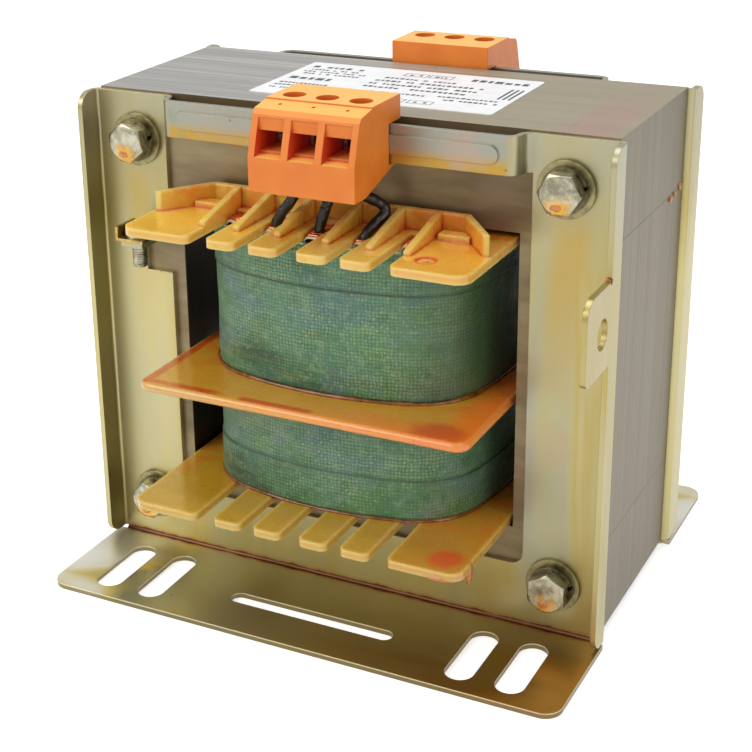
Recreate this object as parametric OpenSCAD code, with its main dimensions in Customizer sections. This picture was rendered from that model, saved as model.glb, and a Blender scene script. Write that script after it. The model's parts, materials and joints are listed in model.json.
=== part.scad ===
// Laminated chassis transformer: an interleaved E and I core clamped by four
// through bolts between two folded brackets, a two-chamber bobbin with taped
// windings, and a clip-on terminal block on the rail of each bracket.
// Millimetres. The origin is on the mounting surface, under the middle of the
// core. Z is up, X runs across the plates and -Y is the front.

/* [Core] */
// Width of the lamination pack
core_w = 150; // [142:1:160]
// Height of the lamination pack
core_h = 137; // [130:1:146]
// Height of each yoke
yoke_h = 27; // [24:0.5:29]
// Width of each outer leg
outer_leg_w = 25; // [22:0.5:27]
// Width of the centre leg
centre_leg_w = 50; // [46:1:54]
// Thickness of one lift of plates laid the same way
lift_t = 4.2; // [3.5:0.1:5]
// Number of lifts, laid alternately upright and inverted
lifts = 14; // [12:2:18]
// Clearance between the mounting surface and the pack
core_lift = 2.5; // [2.4:0.1:4]
// Diameter of the bolt holes through the plates
core_hole_d = 7.8; // [7.6:0.1:9]

/* [Brackets] */
// Thickness of the folded sheet
sheet_t = 1.5; // [1.2:0.1:2]
// Inside radius of the flange and foot bends
bend_r = 0.8; // [0.6:0.1:1.5]
// How far the bracket stands out beyond the pack on each side
bracket_side = 2; // [1:0.5:4]
// How far the top of the bracket lies below the top of the pack
bracket_drop = 0.5; // [0.2:0.1:2]
// Width by which the bracket window clears the core window on each side
window_lap = 3.5; // [2:0.5:5]
// Depth of the bracket window below the core window
window_drop = 10; // [8:0.5:11]
// Radius of the lower corners of the bracket window
window_r = 3.5; // [2:0.5:5]
// Depth of the side flanges, from the front of the face plate
flange_d = 7.5; // [6.5:0.5:10]
// Radius of the flange corners
flange_r = 4.5; // [2:0.5:5]
// Gap between the side flanges and the foot
flange_gap = 0.8; // [0.5:0.1:2]
// Depth of the foot, from the front of the face plate
foot_d = 37.5; // [36:0.5:44]
// Radius of the foot corners
foot_r = 5; // [3:0.5:8]
// Clearance diameter of the bolt holes in the face plate
plate_hole_d = 6.6; // [6.3:0.1:7]

/* [Foot slots] */
// Distance from the centreline to the inner slots
inner_slot_x = 47.6; // [42:0.1:49]
// Distance from the centreline to the outer slots
outer_slot_x = 61.6; // [59:0.1:66]
// Width of the fixing slots
slot_w = 8; // [6:0.1:9]
// Length of the fixing slots over their round ends
slot_l = 25; // [16:0.2:27]
// Distance from the face plate to the middle of the fixing slots
slot_set = 20.5; // [19:0.1:23]
// Length of the long slot in the middle of the foot
mid_slot_l = 50; // [40:1:55]
// Width of the long slot
mid_slot_w = 5; // [3:0.1:6]
// Distance from the face plate to the long slot
mid_slot_set = 21.8; // [15:0.1:28]

/* [Terminal rail] */
// Height of the rail strip across the top of the bracket
rail_h = 10; // [9.5:0.1:11]
// Inside radius of the two bends that set the rail forward
joggle_r = 2; // [1.8:0.1:3]
// Height of the stiffening bead along the rail
bead_h = 5; // [4:0.5:6]
// How far the bead stands out of the rail
bead_out = 0.6; // [0.3:0.1:0.8]
// Length of plain rail left at each end of the bead
bead_end = 1.5; // [1:0.5:5]

/* [Bracket tabs] */
// Height of the underside of the side tab above the mounting surface
side_tab_z = 84.5; // [70:0.5:100]
// Height of the side tab
side_tab_h = 22; // [20:0.5:24]
// Reach of the side tab beyond the edge of the flange
side_tab_d = 17.6; // [15:0.1:20]
// Hole diameter in the side tab
side_tab_hole_d = 8; // [5:0.1:9]
// Distance from the edge of the flange to that hole
side_tab_hole_set = 5.8; // [5.5:0.1:9]
// Height of the underside of the earth tab above the mounting surface
earth_tab_z = 99; // [92:0.5:100]
// Width of the earth tab
earth_tab_w = 7.5; // [7:0.1:9]
// Reach of the earth tab from the face plate
earth_tab_l = 14.6; // [14:0.1:18]
// Distance from the face plate to the earth screw
earth_set = 10.2; // [9.5:0.1:11]
// Height of the notch that the earth tab was cut from
earth_notch_h = 11.5; // [10:0.5:16]

/* [Bobbin] */
// Wall of the bobbin tube
tube_wall = 2; // [1.6:0.1:2.5]
// Clearance between the bobbin tube and the centre leg
tube_fit = 0.3; // [0.2:0.05:0.6]
// Clearance between the bobbin and the outer legs
flange_side_fit = 1; // [0.5:0.1:2]
// Clearance between the bobbin and the lower yoke
bobbin_bottom_fit = 0.3; // [0.2:0.1:1]
// Clearance between the bobbin and the upper yoke
bobbin_top_fit = 1.6; // [0.5:0.1:2]
// Thickness of the top flange
top_flange_t = 2.3; // [1.8:0.1:3]
// Thickness of the middle flange
mid_flange_t = 2.8; // [2:0.1:3.5]
// Thickness of the bottom flange
bottom_flange_t = 2.2; // [1.8:0.1:3]
// Height of the lower winding chamber
lower_chamber_h = 31.4; // [26:0.2:36]
// Reach of the top flange in front of the pack
top_reach = 32.6; // [30:0.1:35]
// Reach of the middle flange in front of the pack
mid_reach = 30.6; // [28:0.1:34]
// Reach of the bottom flange in front of the pack
bottom_reach = 35; // [31:0.1:37]
// Corner radius of the middle flange
mid_flange_r = 4; // [3:0.5:8]
// Width of the fingers of the end flanges
finger_w = 8.4; // [6:0.1:8.8]
// Distance from the centreline to the inner fingers
inner_finger_x = 6.9; // [6.5:0.1:7.3]
// Distance from the centreline to the outer fingers
outer_finger_x = 19.1; // [18.7:0.1:20]
// Distance from the centreline to the inner edge of the wings
wing_x = 28.5; // [27:0.1:31]
// Height of the upright wall on the top flange
fence_h = 5.6; // [4:0.1:6.5]
// Thickness of the upright wall and of its gussets
fence_t = 1.8; // [1.2:0.1:2.2]
// Gap between the upright wall and the face of the pack
fence_gap = 1.9; // [1.8:0.1:2.4]
// Half the length of the straight middle of the upright wall
fence_x = 37.5; // [34:0.5:40]
// Reach of the gussets along the fingers
gusset_l = 21.5; // [16:0.5:24]

/* [Windings] */
// Half width of the taped windings
coil_x = 41.5; // [39:0.5:44]
// Reach of the taped windings in front of the pack
coil_reach = 17.5; // [15:0.5:20]
// Radius of the coil's front and back faces
face_r = 90; // [80:5:130]
// Radius of the coil's side faces
side_r = 160; // [140:10:220]
// Radius of the coil's corners
corner_r = 20; // [18:0.5:21]
// Thickness of the cloth tape
tape_t = 0.9; // [0.7:0.1:1.2]
// Extra thickness where the tape overlaps itself
tape_lap_t = 0.4; // [0.2:0.1:0.6]
// Height of the overlapping band
tape_lap_h = 12; // [8:0.5:14]
// Pitch of the wire layers
layer_pitch = 1.5; // [1.2:0.1:2]
// Number of grooves between wire layers
layer_grooves = 7; // [4:1:8]

/* [Bolts] */
// Thread diameter of the core bolts
bolt_d = 6; // [5.6:0.1:6]
// Width across flats of the bolt heads and nuts
bolt_af = 10; // [9.5:0.1:11]
// Height of the bolt heads
bolt_head_h = 4; // [3:0.1:5]
// Thickness of the nuts
nut_h = 5; // [4:0.1:6]
// Thread left standing beyond the nuts
bolt_spare = 3; // [1:0.5:6]
// Outer diameter of the flat washers
washer_od = 15; // [13:0.5:16]
// Thickness of the flat washers
washer_t = 1.2; // [0.8:0.1:2]
// Outer diameter of the spring washers
spring_washer_od = 12; // [11:0.1:12.5]
// Thickness of the spring washers
spring_washer_t = 1.6; // [1:0.1:2]
// Wall of the insulating sleeves round the bolts
sleeve_wall = 0.6; // [0.4:0.05:0.6]

/* [Terminal blocks] */
// Spacing of the poles
pole_pitch = 9.4; // [9.2:0.1:10]
// Width of the wire windows and cavities
cell_w = 7.4; // [7.2:0.1:7.6]
// Wall at each end of the block
end_wall = 1.8; // [1.5:0.1:2.5]
// Offset of the front block along its rail
front_block_x = 2.5; // [-6:0.5:6]
// Offset of the rear block along its rail
rear_block_x = 2; // [-6:0.5:6]
// Height of the block above the underside of the rail
block_top = 16.6; // [16:0.1:19]
// Depth of the block below the underside of the rail
block_drop = 5.4; // [5:0.1:7]
// Reach of the ledge in front of the rail
ledge_reach = 20.4; // [19.5:0.1:22]
// Reach of the upper face in front of the rail
face_reach = 17.2; // [15.5:0.1:18]
// Height of the ledge above the underside of the rail
ledge_z = 3.6; // [3:0.1:4.2]
// Height of the wire windows
window_h = 5.4; // [4.5:0.1:5.6]
// Diameter of the screw holes
screw_hole_d = 6; // [5.6:0.1:6.4]

/* [Small parts] */
// Diameter of the sleeved leads
lead_d = 3; // [2:0.1:3.2]
// Thread diameter of the earth screw
earth_d = 4; // [3.5:0.1:4]
// Head diameter of the earth screw
earth_head_d = 7.6; // [7:0.1:8.5]
// Length of the rating label
label_l = 71; // [50:1:80]
// Depth of the rating label
label_w = 40; // [30:1:46]
// Thickness of the rating label
label_t = 0.2; // [0.1:0.05:0.4]

/* [Hidden] */
$fn = 48;
eps = 0.01;

// Core
stack = lift_t * lifts;
core_y = stack / 2;
core_top = core_lift + core_h;
window_z0 = core_lift + yoke_h;
window_z1 = core_top - yoke_h;
window_x1 = core_w / 2 - outer_leg_w;
bolt_x = core_w / 2 - outer_leg_w / 2;
bolt_z = [core_lift + yoke_h / 2, core_top - yoke_h / 2];
bolt_places = [for (z = bolt_z) for (side = [-1, 1]) [side * bolt_x, z]];

// Brackets, in the frame of the front one
plate_y = -core_y - sheet_t;
bracket_x = core_w / 2 + bracket_side;
bracket_top = core_top - bracket_drop;
bend_out = bend_r + sheet_t;
face_x = bracket_x - bend_out;
opening_x = window_x1 + window_lap;
opening_z = window_z0 - window_drop;
flange_z0 = sheet_t + flange_gap;
rail_z = bracket_top - rail_h;
rail_end_x = opening_x - 2 * joggle_r - sheet_t;
rail_y = plate_y - 2 * joggle_r - sheet_t;
side_tab_r = 5;
side_tab_low_r = 2.5;
side_tab_hole_drop = 0.7;
bead_wall = 0.6;
earth_tab_r = 1.5;
relief_r = 0.8;
earth_x = -opening_x - earth_tab_w / 2;
earth_y = plate_y - earth_set;
earth_top = earth_tab_z + sheet_t;

// Bobbin
tube_in_x = centre_leg_w / 2 + tube_fit;
tube_in_y = core_y + tube_fit;
tube_x = tube_in_x + tube_wall;
tube_y = tube_in_y + tube_wall;
bobbin_x = window_x1 - flange_side_fit;
bobbin_z0 = window_z0 + bobbin_bottom_fit;
bobbin_z1 = window_z1 - bobbin_top_fit;
lower_z0 = bobbin_z0 + bottom_flange_t;
lower_z1 = lower_z0 + lower_chamber_h;
upper_z0 = lower_z1 + mid_flange_t;
upper_z1 = bobbin_z1 - top_flange_t;
fence_y = core_y + fence_gap;
top_root = fence_y + fence_t + 3;
bottom_root = tube_y + 4;
wing_r = 4;
finger_r = 2;
fence_slant = 14.2;
fence_inset = 0.8;
gusset_end = 1.2;
step_x = wing_x + 3;
step_y = fence_y + 3.5;
step_w = 8.6;
step_d = 3.7;
step_h = 1.7;
gate_x = wing_x + 6.5;
gate_y = -core_y - 24.5;
gate_d = 5;
gate_depth = 0.4;
gate_stub_d = 1.4;
gate_stub_h = 0.3;
mid_inset = 0.5;
inner_gap = 0.2;

// Windings
coil_y = core_y + coil_reach;
winding_gap = 0.1;
chamber_fit = 0.2;
groove_w = 0.3;
groove_h = 0.7;

// Terminal blocks, in the frame of the rail
poles = 3;
block_w = poles * pole_pitch - (pole_pitch - cell_w) + 2 * end_wall;
rail_fit = 0.2;
slot_front = bead_out + rail_fit;
overhang = 2 * joggle_r + 2 * sheet_t - 0.8;
lid_y = -10.2;
lid_step = 0.4;
face_z = block_top - 2.6;
hook_t = 1.1;
hook_h = 0.9;
hook_gap = 0.3;
hook_rise = 0.5;
base_l = 6.1;
brow = 0.8;
brow_set = 1;
brow_h = 1.2;
sill = 0.4;
window_sill = 1;
dimple_y = -12.6;
dimple_d = 1;
dimple_depth = 1.2;
screw_y = -5;
cage_w = 6.8;
cage_d = 6.4;
cage_h = 7;
cage_z = ledge_z + 0.5;
cage_wall = 1;
cage_roof = 2;
cage_fit = 0.2;
screw_d = 3;
screw_head_d = 5.2;
screw_head_h = 2.2;
tail_w = 2.4;
tail_t = 0.8;
tail_out = 1.2;
tail_end = -block_drop - tail_out;
screw_grip = 2;
screw_slot_w = 0.8;
screw_slot_h = 1;
pole_x = [for (i = [0 : poles - 1]) (i - (poles - 1) / 2) * pole_pitch];

// Leads, in the frame of the rail's end of the transformer
lead_top = rail_z + tail_end;
lead_end_x = (inner_finger_x + outer_finger_x) / 2;
lead_end_reach = 13.6;
lead_end_y = -core_y - lead_end_reach;
lead_bow = [[0, 0, 0], [0, 0, 0], [4, 5, 0]];
lead_rings = 8;
lead_start = 6;

// Fasteners
bolt_fit = 0.2;
sleeve_fit = 0.1;
thread_fit = 0.1;
sleeve_od = core_hole_d - 2 * sleeve_fit;
head_turn = [12, 30, 19, 2];
nut_turn = [5, 22, 14, 27];
split_w = 1;
earth_head_h = 2.6;
earth_slot_w = 1;
earth_slot_h = 1.2;
earth_dome = 1.2;
clamp_hole_fit = 0.2;
earth_thread_l = 6.5;
clamp_t = 0.8;
clamp_w = 8;
clamp_d = 9;
clamp_lip = 4;

// ---- general shapes -------------------------------------------------------

// Extrusions that leave the drawing in the YZ plane (towards +X) and in the
// XZ plane (towards -Y)
module along_x(length) rotate([90, 0, 90]) linear_extrude(length) children();
module along_y(length) rotate([90, 0, 0]) linear_extrude(length) children();

// Both signs of X
module both_sides() for (side = [0, 1]) mirror([side, 0, 0]) children();

// Half a turn about Z, for the parts at the rear
module at_rear() rotate([0, 0, 180]) children();

// Rectangle from corner a to corner b
module box2(a, b) translate(a) square(b - a);

module box3(a, b) translate(a) cube(b - a);

// Rectangle centred on the origin with round corners
module round_rect(w, h, r) {
    square([w - 2 * r, h], center = true);
    square([w, h - 2 * r], center = true);
    for (x = [-1, 1]) for (y = [-1, 1])
        translate([x * (w / 2 - r), y * (h / 2 - r)]) circle(r);
}

// Slot along X with round ends
module slot2(length, width) {
    square([length - width, width], center = true);
    for (x = [-1, 1]) translate([x * (length - width) / 2, 0]) circle(d = width);
}

// Corner to be taken off a square corner at the origin, leaving radius r
module corner_waste(r) difference() {
    translate([-eps, -eps]) square(r + eps);
    translate([r, r]) circle(r);
}

// Quarter-round sheet bend about the Z axis, over the first quadrant
module bend(r, length) rotate_extrude(angle = 90)
    translate([r, 0]) square([sheet_t, length]);

module tube(od, id, length) difference() {
    cylinder(d = od, h = length);
    translate([0, 0, -1]) cylinder(d = id, h = length + 2);
}

// A fastener's frame: its axis along Y at each bolt, with z running forward
module at_bolts(y) for (p = bolt_places)
    translate([p.x, y, p.y]) rotate([90, 0, 0]) children();

// ---- lamination core ------------------------------------------------------

module plate_holes(z) for (side = [-1, 1])
    translate([side * bolt_x, z]) circle(d = core_hole_d);

module e_outline() difference() {
    box2([-core_w / 2, yoke_h], [core_w / 2, core_h]);
    for (side = [-1, 1]) translate([side * (centre_leg_w / 2 + window_x1) / 2, 0])
        box2([-(window_x1 - centre_leg_w / 2) / 2, 0],
             [(window_x1 - centre_leg_w / 2) / 2, core_h - yoke_h]);
    plate_holes(core_h - yoke_h / 2);
}

module i_outline() difference() {
    box2([-core_w / 2, 0], [core_w / 2, yoke_h]);
    plate_holes(yoke_h / 2);
}

// Every second lift, turned upside down or not
module lift_stack(first, inverted) for (k = [first : 2 : lifts - 1])
    translate([0, -core_y + (k + 1) * lift_t, core_lift + (inverted ? core_h : 0)])
        along_y(lift_t) mirror([0, inverted ? 1 : 0]) children();

module yoke_down_e_laminations() color("dimgray") lift_stack(1, true) e_outline();
module yoke_up_e_laminations() color("gray") lift_stack(0, false) e_outline();
module top_i_laminations() color("gray") lift_stack(1, true) i_outline();
module bottom_i_laminations() color("dimgray") lift_stack(0, false) i_outline();

// ---- folded brackets ------------------------------------------------------

module face_plate() difference() {
    translate([0, plate_y + sheet_t, 0]) along_y(sheet_t) difference() {
        box2([-face_x, bend_out], [face_x, bracket_top]);
        box2([-opening_x, opening_z + window_r], [opening_x, bracket_top + 1]);
        translate([0, opening_z + window_r])
            round_rect(2 * opening_x, 2 * window_r, window_r - eps);
        box2([-opening_x - earth_tab_w - relief_r, earth_tab_z - earth_notch_h],
             [-opening_x + 1, earth_tab_z + bend_out]);
    }
    for (p = bolt_places) translate([p.x, plate_y - 1, p.y])
        rotate([-90, 0, 0]) cylinder(d = plate_hole_d, h = sheet_t + 2);
}

module flange_outline(edge, with_tab) difference() {
    union() {
        box2([edge, flange_z0], [plate_y - bend_r, bracket_top]);
        if (with_tab) translate([edge - side_tab_d, side_tab_z])
            square([side_tab_d + 1, side_tab_h]);
    }
    translate([edge, flange_z0]) corner_waste(flange_r);
    translate([edge, bracket_top]) mirror([0, 1]) corner_waste(flange_r);
    if (with_tab) {
        translate([edge - side_tab_d, side_tab_z]) corner_waste(side_tab_low_r);
        translate([edge - side_tab_d, side_tab_z + side_tab_h])
            mirror([0, 1]) corner_waste(side_tab_r);
        translate([edge - side_tab_hole_set, side_tab_z + side_tab_h / 2 - side_tab_hole_drop])
            circle(d = side_tab_hole_d);
        translate([edge, side_tab_z + side_tab_h]) circle(relief_r, $fn = 24);
    }
}

module side_flange(with_tab) {
    translate([bracket_x - sheet_t, 0, 0]) along_x(sheet_t)
        flange_outline(plate_y - flange_d, with_tab);
    translate([face_x, plate_y - bend_r, flange_z0])
        bend(bend_r, bracket_top - flange_z0);
}

module foot() difference() {
    union() {
        linear_extrude(sheet_t) difference() {
            box2([-bracket_x, plate_y - foot_d], [bracket_x, plate_y - bend_r]);
            for (side = [0, 1]) mirror([side, 0])
                translate([-bracket_x, plate_y - foot_d]) corner_waste(foot_r);
        }
        translate([-face_x, plate_y - bend_r, bend_out])
            rotate([90, 90, 90]) bend(bend_r, 2 * face_x);
    }
    for (x = [inner_slot_x, outer_slot_x]) for (side = [-1, 1])
        translate([side * x, plate_y - slot_set, -1]) rotate([0, 0, 90])
            linear_extrude(sheet_t + 2) slot2(slot_l, slot_w);
    translate([0, plate_y - mid_slot_set, -1])
        linear_extrude(sheet_t + 2) slot2(mid_slot_l, mid_slot_w);
}

// The strip that carries the terminal block, set forward by two bends at each
// end and stiffened by a pressed bead
module rail() {
    difference() {
        union() {
            box3([-rail_end_x, rail_y, rail_z], [rail_end_x, rail_y + sheet_t, bracket_top]);
            translate([0, rail_y, rail_z + rail_h / 2])
                along_y(bead_out) slot2(2 * (rail_end_x - bead_end), bead_h);
        }
        translate([0, rail_y + sheet_t + eps, rail_z + rail_h / 2]) along_y(bead_out)
            slot2(2 * (rail_end_x - bead_end - bead_wall), bead_h - 2 * bead_wall);
    }
    both_sides() {
        translate([-opening_x, plate_y - joggle_r, rail_z]) bend(joggle_r, rail_h);
        translate([-rail_end_x, plate_y - joggle_r, rail_z])
            rotate([0, 0, 180]) bend(joggle_r, rail_h);
    }
}

// Lanced out of the left leg and folded forward to take the earth screw
module earth_tab() {
    x0 = -opening_x - earth_tab_w;
    difference() {
        translate([x0, plate_y - earth_tab_l, earth_tab_z])
            cube([earth_tab_w, earth_tab_l - bend_r, sheet_t]);
        translate([x0, plate_y - earth_tab_l, earth_tab_z - 1])
            linear_extrude(sheet_t + 2) corner_waste(earth_tab_r);
        translate([earth_x, earth_y, earth_tab_z - 1])
            cylinder(d = earth_d, h = sheet_t + 2);
    }
    translate([x0, plate_y - bend_r, earth_tab_z + bend_out])
        rotate([90, 90, 90]) bend(bend_r, earth_tab_w);
}

module bracket() {
    face_plate();
    side_flange(true);
    mirror([1, 0, 0]) side_flange(false);
    foot();
    rail();
    earth_tab();
}

module front_bracket() color("darkkhaki") bracket();
module rear_bracket() color("darkkhaki") at_rear() bracket();

// ---- bobbin ---------------------------------------------------------------

module tube_bore() translate([-tube_in_x, -tube_in_y]) square([2 * tube_in_x, 2 * tube_in_y]);

// Plan of an end flange: a plate through the windows, with two wings and a
// row of fingers in front of the pack and behind it
module end_flange_outline(reach, root) difference() {
    y1 = core_y + reach;
    box2([-bobbin_x, -y1], [bobbin_x, y1]);
    tube_bore();
    gaps = [
        [-inner_finger_x + finger_w / 2, inner_finger_x - finger_w / 2],
        [inner_finger_x + finger_w / 2, outer_finger_x - finger_w / 2],
        [outer_finger_x + finger_w / 2, wing_x],
        [-outer_finger_x + finger_w / 2, -inner_finger_x - finger_w / 2],
        [-wing_x, -outer_finger_x - finger_w / 2]
    ];
    for (end = [0, 1]) mirror([0, end]) for (g = gaps) {
        box2([g[0], root], [g[1], y1 + 1]);
        for (edge = [0, 1]) translate([g[edge], y1]) mirror([1 - edge, 0]) mirror([0, 1])
            corner_waste(finger_r);
    }
    for (sx = [0, 1]) mirror([sx, 0]) for (sy = [0, 1]) mirror([0, sy])
        translate([bobbin_x, y1]) rotate(180) corner_waste(wing_r);
}

// Plan of the upright wall: straight across the face of the pack, then
// slanting forward along the back of each wing
module fence_outline() {
    y_end = fence_y + fence_slant;
    x_end = bobbin_x - fence_inset;
    for (sx = [0, 1]) mirror([sx, 0]) polygon([
        [-eps, fence_y], [fence_x, fence_y],
        [x_end, y_end], [x_end - fence_t, y_end],
        [fence_x - fence_t / 2, fence_y + fence_t], [-eps, fence_y + fence_t]
    ]);
}

module gusset(x) translate([x - fence_t / 2, 0, bobbin_z1 - eps]) along_x(fence_t)
    polygon([[fence_y, 0], [fence_y, fence_h], [fence_y + fence_t, fence_h],
             [fence_y + gusset_l, gusset_end], [fence_y + gusset_l, 0]]);

// The gate mark, a dimple with the stub left in it, is on the right front wing
module bobbin_top_flange() color("goldenrod") {
    difference() {
        translate([0, 0, upper_z1]) linear_extrude(top_flange_t)
            end_flange_outline(top_reach, top_root);
        translate([gate_x, gate_y, bobbin_z1 - gate_depth])
            cylinder(d = gate_d, h = 1, $fn = 24);
    }
    translate([gate_x, gate_y, bobbin_z1 - gate_depth - eps])
        cylinder(d = gate_stub_d, h = gate_stub_h + eps, $fn = 12);
    for (end = [0, 1]) mirror([0, end, 0]) {
        translate([0, 0, bobbin_z1 - eps]) linear_extrude(fence_h) fence_outline();
        for (x = [wing_x + fence_t / 2, outer_finger_x, inner_finger_x])
            both_sides() gusset(x);
        both_sides() box3([step_x, step_y, bobbin_z1 - eps],
                          [step_x + step_w, step_y + step_d, bobbin_z1 + step_h]);
    }
}

// Plate with a rolled edge: half-round along the sides, quarter-ring corners
module rolled_plate(x, y, t, r) {
    linear_extrude(t) round_rect(2 * x - t, 2 * y - t, r - t / 2);
    translate([0, 0, t / 2]) for (sx = [0, 1]) mirror([sx, 0, 0])
        for (sy = [0, 1]) mirror([0, sy, 0]) {
            translate([x - r, y - r, 0]) rotate_extrude(angle = 90)
                translate([r - t / 2, 0]) circle(d = t, $fn = 24);
            translate([x - t / 2, -eps, 0]) rotate([-90, 0, 0])
                cylinder(d = t, h = y - r + eps, $fn = 24);
            translate([-eps, y - t / 2, 0]) rotate([0, 90, 0])
                cylinder(d = t, h = x - r + eps, $fn = 24);
        }
}

module tube_outline() round_rect(2 * tube_x, 2 * tube_y, tube_wall);

module bobbin_middle_flange() color("goldenrod") difference() {
    translate([0, 0, lower_z1])
        rolled_plate(bobbin_x - mid_inset, core_y + mid_reach, mid_flange_t, mid_flange_r);
    translate([0, 0, lower_z1 - 1]) linear_extrude(mid_flange_t + 2) tube_outline();
}

module bobbin_bottom_flange() color("goldenrod")
    translate([0, 0, bobbin_z0]) linear_extrude(bottom_flange_t)
        end_flange_outline(bottom_reach, bottom_root);

module bobbin_tube() color("goldenrod")
    translate([0, 0, lower_z0]) linear_extrude(upper_z1 - lower_z0) difference() {
        tube_outline();
        tube_bore();
    }

// ---- windings and tape ----------------------------------------------------

// Where two circles meet, on the right of the line from the first centre to
// the second
function circles_meet(c1, r1, c2, r2) = let (
    d = norm(c2 - c1),
    u = (c2 - c1) / d,
    a = (r1 * r1 - r2 * r2 + d * d) / (2 * d),
    h = sqrt(r1 * r1 - a * a)
) c1 + a * u + h * [u.y, -u.x];

// Centre of the corner arc that runs smoothly into the front and side arcs
corner_c = circles_meet([0, coil_y - face_r], face_r - corner_r,
                        [coil_x - side_r, 0], side_r - corner_r);

// Tangent point of the corner arc with an arc of radius r about c
function tangent(c, r) = c + r * (corner_c - c) / norm(corner_c - c);

// Coil plan grown by g: bulging faces joined by corner arcs, every arc
// keeping its centre
module coil_outline(g) {
    face_c = [0, coil_y - face_r];
    side_c = [coil_x - side_r, 0];
    pf = tangent(face_c, face_r + g);
    ps = tangent(side_c, side_r + g);
    square([2 * ps.x, 2 * ps.y], center = true);
    square([2 * pf.x, 2 * pf.y], center = true);
    for (sx = [0, 1]) mirror([sx, 0]) for (sy = [0, 1]) mirror([0, sy]) {
        translate(corner_c) circle(corner_r + g);
        intersection() {
            translate(face_c) circle(face_r + g, $fn = 180);
            box2([-eps, 0], pf + [0, coil_y]);
        }
        intersection() {
            translate(side_c) circle(side_r + g, $fn = 180);
            box2([0, -eps], ps + [coil_x, 0]);
        }
    }
}

module winding_bore() round_rect(2 * (tube_x + inner_gap), 2 * (tube_y + inner_gap),
                                 tube_wall + inner_gap);

// A winding between heights z0 and z1, its wire layers showing as grooves in
// the end that the fingers leave open
module winding(z0, z1, open_top) {
    g0 = -tape_t - winding_gap;
    difference() {
        translate([0, 0, z0]) linear_extrude(z1 - z0) difference() {
            coil_outline(g0);
            winding_bore();
        }
        for (k = [1 : layer_grooves])
            translate([0, 0, open_top ? z1 - groove_h : z0 - 1])
                linear_extrude(groove_h + 1) difference() {
                    coil_outline(g0 - k * layer_pitch);
                    coil_outline(g0 - k * layer_pitch - groove_w);
                }
    }
}

module tape(z0, z1, lap_at_top) {
    lap_z = lap_at_top ? z1 - tape_lap_h : z0;
    translate([0, 0, z0]) linear_extrude(z1 - z0) difference() {
        coil_outline(0);
        coil_outline(-tape_t);
    }
    translate([0, 0, lap_z]) linear_extrude(tape_lap_h) difference() {
        coil_outline(tape_lap_t);
        coil_outline(-eps);
    }
}

module upper_winding() color("peru")
    winding(upper_z0 + chamber_fit, upper_z1 - chamber_fit, true);
module lower_winding() color("peru")
    winding(lower_z0 + chamber_fit, lower_z1 - chamber_fit, false);
module upper_tape() color("seagreen")
    tape(upper_z0 + chamber_fit, upper_z1 - chamber_fit, true);
module lower_tape() color("seagreen")
    tape(lower_z0 + chamber_fit, lower_z1 - chamber_fit, false);

// ---- leads ----------------------------------------------------------------

function bezier(a, b, c, d, t) =
    pow(1 - t, 3) * a + 3 * t * pow(1 - t, 2) * b + 3 * t * t * (1 - t) * c + pow(t, 3) * d;

// Round lead that leaves a straight down and reaches d from above, pushed
// aside by bow on its way
module lead(a, d, bow) {
    sides = 10;
    b = a - [0, 0, lead_start];
    c = d + [0, 0, lead_start];
    rings = [for (i = [0 : lead_rings]) let (
        t = i / lead_rings,
        p = bezier(a, b, c, d, t) + 29 * t * t * pow(1 - t, 3) * bow,
        slope = 3 * (pow(1 - t, 2) * (b - a) + 2 * t * (1 - t) * (c - b) + t * t * (d - c))
            + 29 * t * pow(1 - t, 2) * (2 - 5 * t) * bow,
        dir = slope / norm(slope),
        u = cross([1, 0, 0], dir) / norm(cross([1, 0, 0], dir)),
        v = cross(dir, u)
    ) [for (k = [0 : sides - 1])
        p + lead_d / 2 * (cos(k * 360 / sides) * u + sin(k * 360 / sides) * v)]];
    polyhedron(
        points = [for (ring = rings) each ring],
        faces = concat(
            [[for (k = [sides - 1 : -1 : 0]) k]],
            [for (i = [0 : lead_rings - 1]) for (k = [0 : sides - 1]) let (
                n = (k + 1) % sides, o = i * sides
            ) each [[o + k, o + n, o + sides + n], [o + k, o + sides + n, o + sides + k]]],
            [[for (k = [0 : sides - 1]) lead_rings * sides + k]]
        ));
}

// From the tails of a terminal block down between the fingers to the winding
module leads(block_x) color("black") for (i = [0 : poles - 1])
    lead([block_x + pole_x[i], rail_y + screw_y, lead_top],
         [(i - 1) * lead_end_x, lead_end_y, upper_z1 - chamber_fit],
         lead_bow[i]);

module front_leads() leads(front_block_x);
module rear_leads() at_rear() leads(-rear_block_x);

// ---- core bolts -----------------------------------------------------------

// Hexagon prism with a chamfered top
module hexagon(af, height) intersection() {
    cylinder(d = af / cos(30), h = height, $fn = 6);
    cylinder(r1 = 0.475 * af + height * tan(60), r2 = 0.475 * af, h = height);
}

module core_bolts() color("silver") {
    shank = 2 * -plate_y + washer_t + nut_h + bolt_spare;
    at_bolts(plate_y) translate([0, 0, -shank])
        cylinder(d = bolt_d, h = shank + washer_t + spring_washer_t + eps);
    for (i = [0 : 3])
        translate([bolt_places[i].x, plate_y - washer_t - spring_washer_t, bolt_places[i].y])
            rotate([90, head_turn[i], 0]) hexagon(bolt_af, bolt_head_h);
}

module bolt_sleeves() color("ivory") at_bolts(core_y - sleeve_fit)
    tube(sleeve_od, sleeve_od - 2 * sleeve_wall, stack - 2 * sleeve_fit);

module flat_washer() tube(washer_od, bolt_d + 2 * bolt_fit, washer_t);

module bolt_flat_washers() color("silver") at_bolts(plate_y) flat_washer();
module nut_flat_washers() color("silver") at_bolts(-plate_y + washer_t) flat_washer();

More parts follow.
